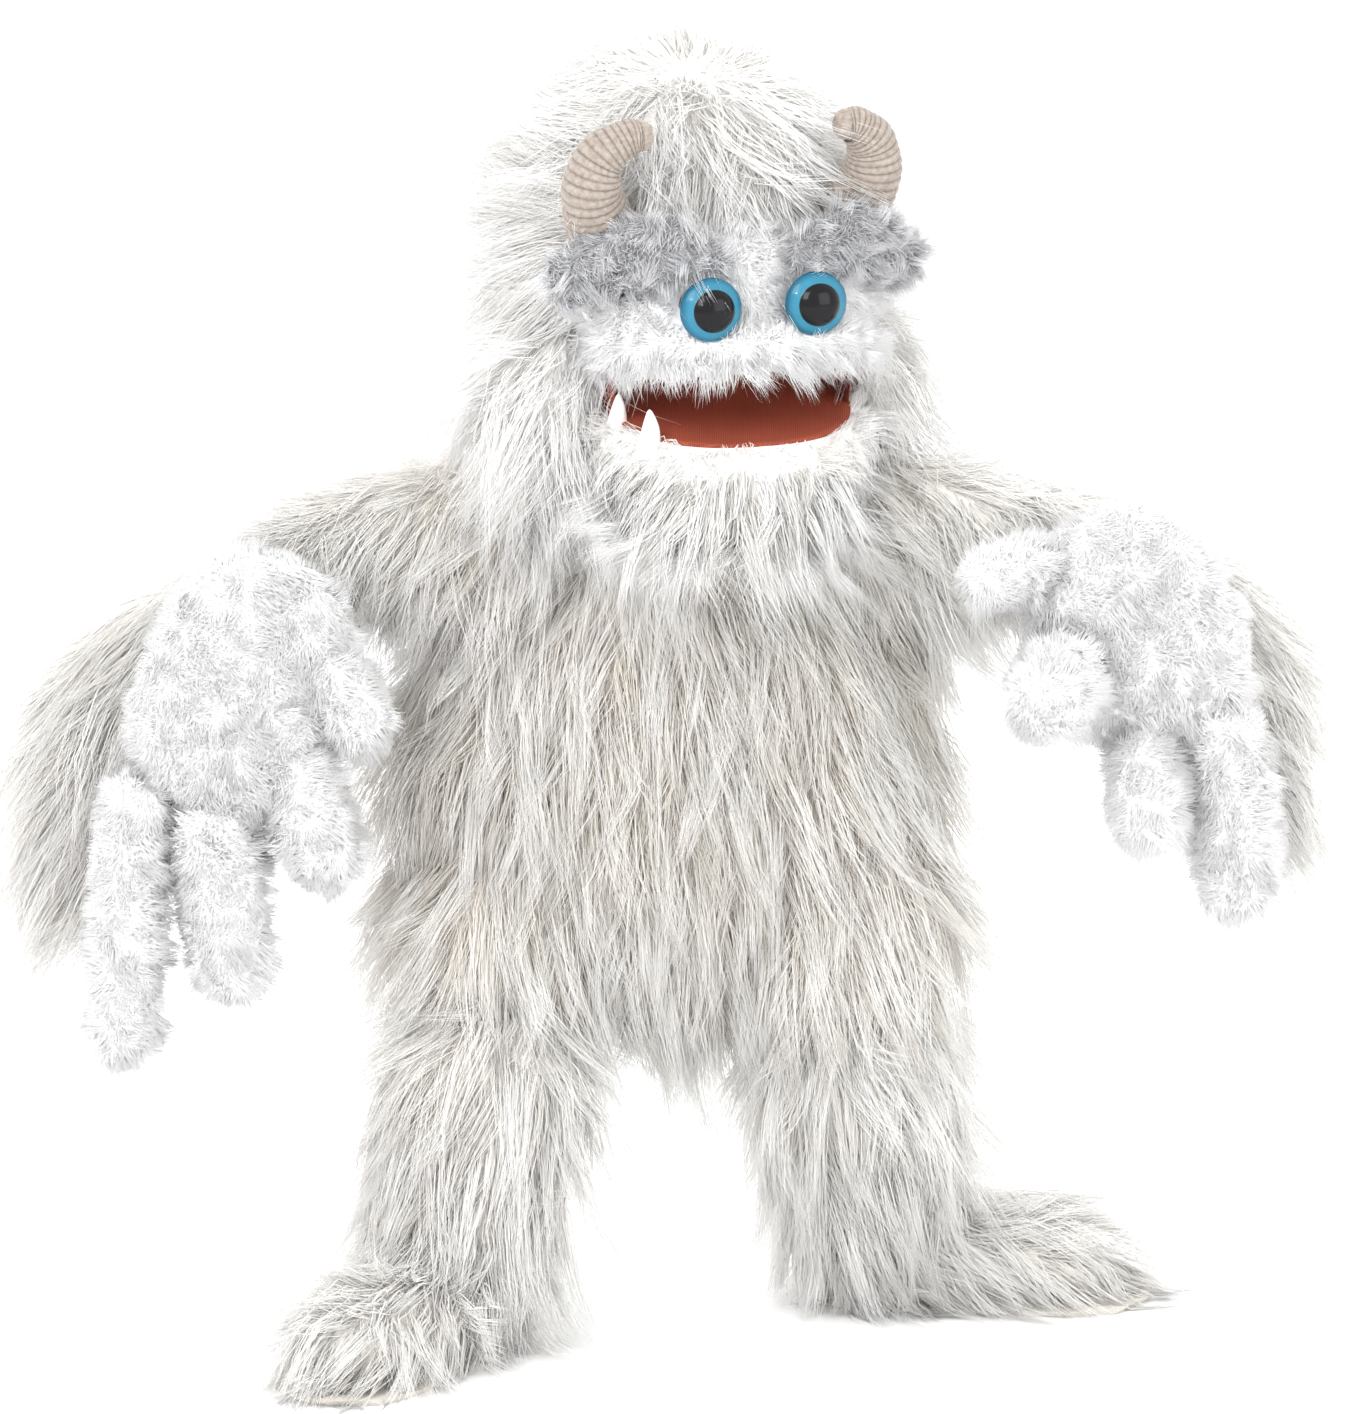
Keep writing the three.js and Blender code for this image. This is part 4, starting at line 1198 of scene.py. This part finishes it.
class YETI_OT_legs(bpy.types.Operator):
    """Makes both legs and feet and the pile on them"""

    bl_idname = "yeti.legs"
    bl_label = "Legs and feet"

    def execute(self, context):
        pile = context.scene.yeti_pile
        cream = bpy.data.materials["pale_cream_pile"]
        backing = bpy.data.materials["cream_backing"]
        for side, sign in SIGNED_SIDES:
            hip, ankle = place(f"{side}_hip_swing"), place(f"{side}_ankle_flex")
            skin = fused(f"{side}_leg_cloth", Shape().limb([hip, ankle], [0.042, 0.037]))
            dress(skin, backing)
            made = limb_pile(f"{side}_leg_pile", skin, cream, (sign * 0.3, -0.2, 0), pile.leg_hair, 0.92,
                             cover=lambda p, n: 0.5 + 0.5 * (n[:, 1] < 0.2))
            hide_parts(f"{side}_leg_fur", f"{side}_leg_stuffing")
            ride_all(f"{side}_leg", skin, made)
            self.foot(side, ankle, cream, backing, pile)
        return {"FINISHED"}

    def foot(self, side, ankle, cream, backing, pile):
        """A foot with a flat underside, its toes across the ankle's axis."""
        low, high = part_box(f"{side}_foot")
        flex = direction(f"{side}_ankle_flex")
        toe_way = Vector((-flex.y, flex.x, 0)).normalized()
        centre = Vector(((low.x + high.x) / 2, (low.y + high.y) / 2, 0.0))
        length_half = (Vector((ankle.x, ankle.y, 0)) - centre).length
        heel = centre - toe_way * length_half * 0.95 + Vector((0, 0, 0.028))
        toe = centre + toe_way * (length_half * 0.95) + Vector((0, 0, 0.020))
        rise = ankle - Vector((0, 0, 0.008))
        shape = Shape().limb([heel, (heel + toe) / 2, toe], [0.026, 0.028, 0.027], flat=0.7, thin=(0, 0, 1))
        shape.limb([rise, heel.lerp(toe, 0.3)], [0.024, 0.024])
        skin = fused(f"{side}_foot_cloth", shape, cuts=[((0, 0, 0.0036), (0, 0, -1))])
        dress(skin, backing)
        middle_of_foot = np.array([ankle.x, ankle.y, 0.0])
        way = np.array(toe_way)

        def comb(p, n):
            out = unit((p - middle_of_foot) * np.array([1, 1, 0]))
            top = ramp(p[:, 2:3], 0.024, 0.045)
            return flow(n, out + way * (0.3 + 0.6 * top) + DOWN * (0.7 - 0.5 * top), 0.5)

        def cover(p, n):
            ahead = (p - middle_of_foot) @ way
            return (p[:, 2] > 0.006) * (0.5 + 0.5 * (ahead > -0.03))

        made = grow(f"{side}_foot_pile", skin, comb, constant(pile.leg_hair * 0.92), cover, cream, **strands(
            LONG, pile.hair_per_m2 * 1.15, 13000.0, pile.hair_width))
        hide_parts(f"{side}_foot")
        ride_all(f"{side}_foot", skin, made)


EYE_AHEAD = 0.013
EYE_RADIUS = 14.45
# radius and height of the bevelled ring, the step round the pupil and the pupil's dome, in millimetres
EYE_PROFILE = [
    (0.0, -3.0), (12.0, -3.0), (13.9, -1.2), (EYE_RADIUS, 0.6), (14.3, 2.0), (13.5, 3.1), (12.2, 4.0),
    (11.0, 4.8), (10.1, 5.3), (9.75, 5.5), (9.5, 5.8), (8.8, 6.6), (7.6, 7.6), (5.9, 8.4), (4.0, 9.0),
    (2.0, 9.35), (0.0, 9.45),
]


class YETI_OT_eyes(bpy.types.Operator):
    """Makes the two blue plastic eyes"""

    bl_idname = "yeti.eyes"
    bl_label = "Eyes"

    def execute(self, context):
        face = context.scene.yeti_face
        material = eye_material(face)
        out = HEAD.to_3x3() @ Vector((0, -1, 0))
        wide = HEAD.to_3x3() @ Vector((1, 0, 0))
        up = Vector((0, 0, 1))
        start, *profile, end = EYE_PROFILE
        for side in SIDES:
            seat = middle(f"{side}_eye_washer") + out * EYE_AHEAD
            shape, sides = Shape(), 72
            rings = [[seat + (wide * math.cos(a) + up * math.sin(a)) * r * MM + out * h * MM
                      for a in (2 * math.pi * s / sides for s in range(sides))] for r, h in profile]
            shape.rings(rings, seat + out * start[1] * MM, seat + out * end[1] * MM)
            made = new_object(f"{side}_eye_plastic", shape.mesh(f"{side}_eye_plastic"))
            reach = [r / EYE_RADIUS for r, _ in profile for _ in range(sides)] + [0.0, 0.0]
            write_attribute(made.data, "reach", "FLOAT", np.array(reach))
            smoothed(made)
            dress(made, material)
            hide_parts(f"{side}_eye")
            ride_all("head", made)
        return {"FINISHED"}


def eye_material(face):
    """A blue ring that darkens towards its edge, round a black pupil, under clear gloss."""
    shader = Shader("eye_plastic", 0.22, {
        "Coat Weight": 0.22, "Coat Roughness": 0.03, "Specular IOR Level": 0.12})
    black, light, dark = tuple(face.pupil), tuple(face.iris_light), tuple(face.iris_dark)
    stops = (0.0, black), (0.665, black), (0.68, light), (0.82, light), (1.0, dark)
    ring = shader.ramp(shader.attribute("reach"), *stops)
    streak = shader.noise(160.0, 2.0)
    shade = shader.ramp(streak, (0.3, (0.86, 0.9, 0.94)), (0.7, (1.0, 1.0, 1.0)))
    return shader.colour(shader.multiplied(1.0, ring, shade)).material


class YETI_OT_horns(bpy.types.Operator):
    """Makes the two knitted horns"""

    bl_idname = "yeti.horns"
    bl_label = "Horns"

    def execute(self, context):
        face = context.scene.yeti_face
        material = self.material_of(face)
        for side, sign in SIGNED_SIDES:
            points = [(58, -44, 521), (65, -52, 534), (71, -60, 549),
                      (68, -64, 563), (57, -66, 571), (51, -66, 572)]
            if side == "left":
                points = [(x * 0.7 + 13, y, z) for x, y, z in points]
            radii = [15.5, 14.6, 12.6, 10.6, 8.0, 6.4]
            curve, widths = smooth_path([head_point(sign * x, y, z) for x, y, z in points],
                                        [r * MM for r in radii], face.horn_rows * 2)
            self.knit(side, curve, widths, face, material)
        return {"FINISHED"}

    def knit(self, side, curve, widths, face, material):
        """Rows of stitches round a curved tube with a round end."""
        sides, stitches, cap = 84, 21, 10
        count = len(curve)
        rings, heights = [], []
        ways = [(curve[min(i + 1, count - 1)] - curve[max(i - 1, 0)]).normalized() for i in range(count)]
        spine = [(centre, way, width, 0.0) for centre, way, width in zip(curve, ways, widths)]
        spine += [(curve[-1], ways[-1], widths[-1], math.pi / 2 * i / cap) for i in range(1, cap)]
        total = len(spine)
        for i, (centre, along, width, turn) in enumerate(spine):
            wide = Vector((0, -1, 0)).cross(along).normalized()
            deep = along.cross(wide)
            row = i / (total - 1) * face.horn_rows
            rib = abs(math.sin(math.pi * row)) ** 0.55
            ring = []
            for s in range(sides):
                a = 2 * math.pi * s / sides
                slant = (row % 1 - 0.5) * 1.4
                loop = abs(math.sin(stitches * a / 2 + slant * (1 if int(row) % 2 else -1)))
                lift = 0.0006 * rib + 0.0004 * loop * rib
                size = width * math.cos(turn) + lift * math.cos(turn)
                at = centre + along * (width + lift) * math.sin(turn)
                ring.append(at + wide * size * math.cos(a) + deep * size * math.sin(a))
                # the stitch height is kept for the colour: low places get the painted shade of the grooves
                heights.append(0.62 * rib + 0.38 * loop * rib)
            rings.append(ring)
        shape = Shape().rings(rings, curve[0] - ways[0] * 0.002, curve[-1] + ways[-1] * widths[-1])
        name = f"{side}_horn_knit"
        made = new_object(name, shape.mesh(name))
        write_attribute(made.data, "knit", "FLOAT", np.array(heights + [0.5, 0.5]))
        smoothed(made)
        dress(made, material)
        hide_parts(f"{side}_horn")
        ride_all("head", made)

    def material_of(self, face):
        """Yarn with painted shade that darkens it between the stitches, mottled at random."""
        shader = Shader("horn_knit", 0.9, {"Sheen Weight": 0.25})
        yarn, shade = tuple(face.horn_yarn), tuple(face.horn_shade)
        # painted shade: darker yarn where the knit height is low, between stitches and rows
        depth = shader.ramp(shader.attribute("knit"), (0.15, shade), (0.75, yarn))
        mottle = shader.ramp(shader.noise(420.0, 3.0), (0.3, (0.66, 0.62, 0.58)), (0.7, (1.0, 1.0, 1.0)))
        shader.colour(shader.multiplied(1.0, depth, mottle))
        return shader.bump(shader.noise(1400.0, 3.0), 0.7, 0.0005).material


class YETI_OT_brows(bpy.types.Operator):
    """Makes the two curly grey brows"""

    bl_idname = "yeti.brows"
    bl_label = "Brows"

    def execute(self, context):
        pile = context.scene.yeti_pile
        material = pile_material("brow_pile", pile.brow_root, pile.brow_tip, 0.5, (0.55, 0.55, 0.57))
        # painted shade: the brow cloth's pale end is dimmed to 0.6 of the brow tip, for the shade under the curls
        backing = backing_material("brow_backing", pile.brow_root, tuple(c * 0.6 for c in pile.brow_tip))
        for side, sign in SIGNED_SIDES:
            points = [(27, -78, 516), (50, -73, 521.5), (77, -54, 508)]
            shape = Shape().limb([head_point(sign * x, y, z) for x, y, z in points],
                                 [0.0115, 0.0150, 0.0130], flat=0.62, thin=HEAD.to_3x3() @ Vector((0, 1, 0)))
            skin = fused(f"{side}_brow_cloth", shape, voxel=0.003, smoothing=3)
            dress(skin, backing)

            def comb(p, n):
                return n + from_head(across(np.sign(in_head(p)[:, 0]) * 0.35)) + DOWN * 0.3

            def cover(p, n):
                return head_normals(n)[:, 1] < 0.6

            made = grow(f"{side}_brow_pile", skin, comb, constant(pile.brow_hair), cover, material, **strands(
                PLUSH, pile.plush_per_m2 * 0.9, 32000.0, pile.plush_width,
                Segments=3, Clump=0.5, Stray=1.1, Frizz=1.2, Wave=0.9))
            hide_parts(f"{side}_brow")
            ride_all("head", skin, made)
        return {"FINISHED"}


class YETI_OT_mouth(bpy.types.Operator):
    """Makes the cloth inside the mouth, its side folds and the two teeth"""

    bl_idname = "yeti.mouth"
    bl_label = "Mouth and teeth"

    def execute(self, context):
        face = context.scene.yeti_face
        cloth = self.cloth(face)
        for name, node, body, lean, lift, rise in (
            ("upper_mouth_cloth", "upper_mouth_lining", "head", UPPER_LEAN, 3.4, 1.0),
            ("lower_mouth_cloth", "lower_mouth_lining", "jaw", -LOWER_LEAN, -1.8, 1.2),
        ):
            made = self.plate(name, lean, lift, rise)
            dress(made, cloth)
            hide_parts(node)
            ride_all(body, made)
        for side, sign in SIGNED_SIDES:
            made = self.fold(f"{side}_mouth_fold", sign)
            dress(made, cloth)
            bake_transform(made)
        self.teeth(face)
        return {"FINISHED"}

    def plate(self, name, lean, lift, rise):
        """A thin closed plate with the mouth's outline; its edges rise (or hang) by `rise`."""
        steps, count, thick, inside, middle_y = 64, 14, 1.5, 0.955, -42.0
        rings = []
        order = [(k / count, 0.0) for k in range(1, count + 1)]
        order += [(k / count, thick) for k in range(count, 0, -1)]
        sign = 1 if lean < 0 else -1
        for out, down in order:
            ring = []
            for s in range(steps):
                x, y = mouth_edge(s / (steps - 1))
                x, y = x * out * inside, middle_y + (y - middle_y) * out * inside
                height = lift + sign * (rise * out ** 4) - sign * down
                ring.append(lean_point(x, y, height, lean))
            rings.append(ring)
        start = lean_point(0.0, middle_y, lift, lean)
        end = lean_point(0.0, middle_y, lift - sign * thick, lean)
        made = new_object(name, Shape().rings(rings, start, end).mesh(name))
        return smoothed(made)

    def fold(self, name, sign):
        """The cloth at the corner of the mouth, between the lower and the upper plate."""
        shape, steps, ups, thick, inside = Shape(), 18, 12, 1.0, 0.94
        rings = []
        loop = [(k / ups, 0.0) for k in range(ups + 1)] + [(k / ups, thick) for k in range(ups, -1, -1)]
        out = HEAD.to_3x3() @ Vector((sign, 0, 0))
        for i in range(steps + 1):
            along = i / steps * 0.22
            x, y = mouth_edge(along if sign < 0 else 1 - along)
            low = lean_point(x * inside, y, -1.5, -LOWER_LEAN)
            high = lean_point(x * inside, y, 4.0, UPPER_LEAN)
            tall = (high - low).length
            rings.append([low.lerp(high, up) + out * (0.06 * tall * math.sin(math.pi * up) - depth * MM)
                          for up, depth in loop])
        shape.rings(rings, sum(rings[0], Vector()) / len(rings[0]), sum(rings[-1], Vector()) / len(rings[-1]))
        return smoothed(new_object(name, shape.mesh(name)))

    def teeth(self, face):
        """Two round-tipped teeth that stand on the jaw."""
        shader = Shader("tooth_plastic", 0.34, {"Coat Weight": 0.35})
        tip, root = tuple(face.tooth), tuple(c * 0.93 for c in face.tooth)
        shader.colour(shader.ramp(shader.noise(60.0, 2.0), (0.3, root), (0.7, tip)))
        sides, rows, root_radius, depth = 28, 16, 5.1, 0.82
        for name, (x, y, z), tall, lean in (
            ("outer_tooth", (-59, -52, 430), 24.5, 10), ("inner_tooth", (-50, -74, 428), 22.5, 5),
        ):
            slope = math.sin(math.radians(lean))
            rings = []
            for i in range(rows):
                up = i / rows
                size = root_radius * (1 - up ** 2.3) ** 0.9 + 0.25
                bow = 2.0 * math.sin(math.pi * up) - 1.0 * up
                middle_x, middle_y = x + slope * tall * up + bow * 0.8, y + bow * 0.6
                rings.append([head_point(middle_x + size * math.cos(a), middle_y + size * depth * math.sin(a),
                                         z + tall * up)
                              for a in (2 * math.pi * s / sides for s in range(sides))])
            top = head_point(x + slope * tall - 0.8, y - 0.6, z + tall * 0.985)
            made = new_object(f"{name}_plastic", Shape().rings(rings, head_point(x, y, z), top).mesh(name))
            smoothed(made)
            dress(made, shader.material)
            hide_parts(name)
            ride_all("jaw", made)

    def cloth(self, face):
        """Plain woven cloth."""
        shader = Shader("mouth_cloth", 0.85, {"Specular IOR Level": 0.2})
        warp, weft = (
            shader.add("ShaderNodeTexWave", {"Vector": shader.place(), "Scale": 380.0, "Distortion": 1.2},
                       bands_direction=way).outputs["Fac"]
            for way in ("X", "Y"))
        weave = shader.sums("MULTIPLY", shader.sums("ADD", warp, weft), 0.5)
        wear = shader.sums("MULTIPLY", shader.noise(38.0), 0.4)
        patch = shader.sums("ADD", shader.sums("MULTIPLY", weave, 0.6), wear)
        shader.colour(shader.ramp(patch, (0.3, tuple(face.mouth_shade)), (0.62, tuple(face.mouth_cloth))))
        return shader.bump(weave, 0.35, 0.0004).material


class YETI_OT_inside(bpy.types.Operator):
    """Gives the linings, pockets, boards and soles their cloth and board"""

    bl_idname = "yeti.inside"
    bl_label = "Linings and soles"

    def execute(self, context):
        looks = {
            "lining_cloth": self.cloth("lining_cloth", (0.55, 0.51, 0.45), (0.66, 0.62, 0.56)),
            "sole_cloth": self.cloth("sole_cloth", (0.60, 0.57, 0.52), (0.72, 0.69, 0.64)),
            "mouth_board": self.board(),
            "washer_plastic": self.plastic(),
        }
        slots = {part["node"]: part["material_slot"] for part in frame["record"]["subparts"]}
        for name, node in frame["nodes"].items():
            if slots[name] in looks:
                node.data.materials.clear()
                node.data.materials.append(looks[slots[name]])
        return {"FINISHED"}

    def cloth(self, name, dark, light):
        """Plain cloth with a fine fuzzy weave."""
        shader = Shader(name, 0.92)
        weave = shader.noise(900.0, 2.0)
        shader.colour(shader.ramp(weave, (0.3, dark), (0.7, light)))
        return shader.bump(weave, 0.4, 0.0004).material

    def board(self):
        """Brown card with its fibres along the mouth."""
        shader = Shader("mouth_board", 0.8)
        fibre = shader.noise(90.0, 4.0, at=shader.place((1, 0.2, 1)))
        dark, light = (0.33, 0.23, 0.13), (0.48, 0.36, 0.22)
        return shader.colour(shader.ramp(fibre, (0.3, dark), (0.7, light))).material

    def plastic(self):
        """Black plastic of the washers behind the eyes."""
        shader = Shader("washer_plastic", 0.4)
        dark, light = (0.03, 0.03, 0.033), (0.05, 0.05, 0.055)
        return shader.colour(shader.ramp(shader.noise(200.0), (0.3, dark), (0.7, light))).material


OPERATORS = (
    YETI_OT_stage, YETI_OT_torso, YETI_OT_head, YETI_OT_muzzle, YETI_OT_jaw, YETI_OT_arms, YETI_OT_gloves,
    YETI_OT_legs, YETI_OT_eyes, YETI_OT_horns, YETI_OT_brows, YETI_OT_mouth, YETI_OT_inside,
)


class YETI_PT_panel(bpy.types.Panel):
    """Lists the puppet's settings and its pieces"""

    bl_idname = "YETI_PT_panel"
    bl_label = "Yeti Puppet"
    bl_space_type = "VIEW_3D"
    bl_region_type = "UI"
    bl_category = "Yeti Puppet"

    def draw(self, context):
        layout = self.layout
        for group in (context.scene.yeti_pile, context.scene.yeti_face, context.scene.yeti_stage):
            box = layout.box()
            for name in group.__annotations__:
                box.prop(group, name)
        for operator in OPERATORS:
            layout.operator(operator.bl_idname)


CLASSES = (PileSettings, FaceSettings, StageSettings, *OPERATORS, YETI_PT_panel)


def register():
    """Adds the settings, the operators and the panel."""
    for each in CLASSES:
        bpy.utils.register_class(each)
    bpy.types.Scene.yeti_pile = PointerProperty(type=PileSettings)
    bpy.types.Scene.yeti_face = PointerProperty(type=FaceSettings)
    bpy.types.Scene.yeti_stage = PointerProperty(type=StageSettings)


def unregister():
    """Takes them off again."""
    for name in ("yeti_stage", "yeti_face", "yeti_pile"):
        delattr(bpy.types.Scene, name)
    for each in reversed(CLASSES):
        bpy.utils.unregister_class(each)


def main():
    """Builds the whole puppet."""
    register()
    for operator in OPERATORS:
        group, name = operator.bl_idname.split(".")
        getattr(getattr(bpy.ops, group), name)()


if __name__ == "__main__":
    main()
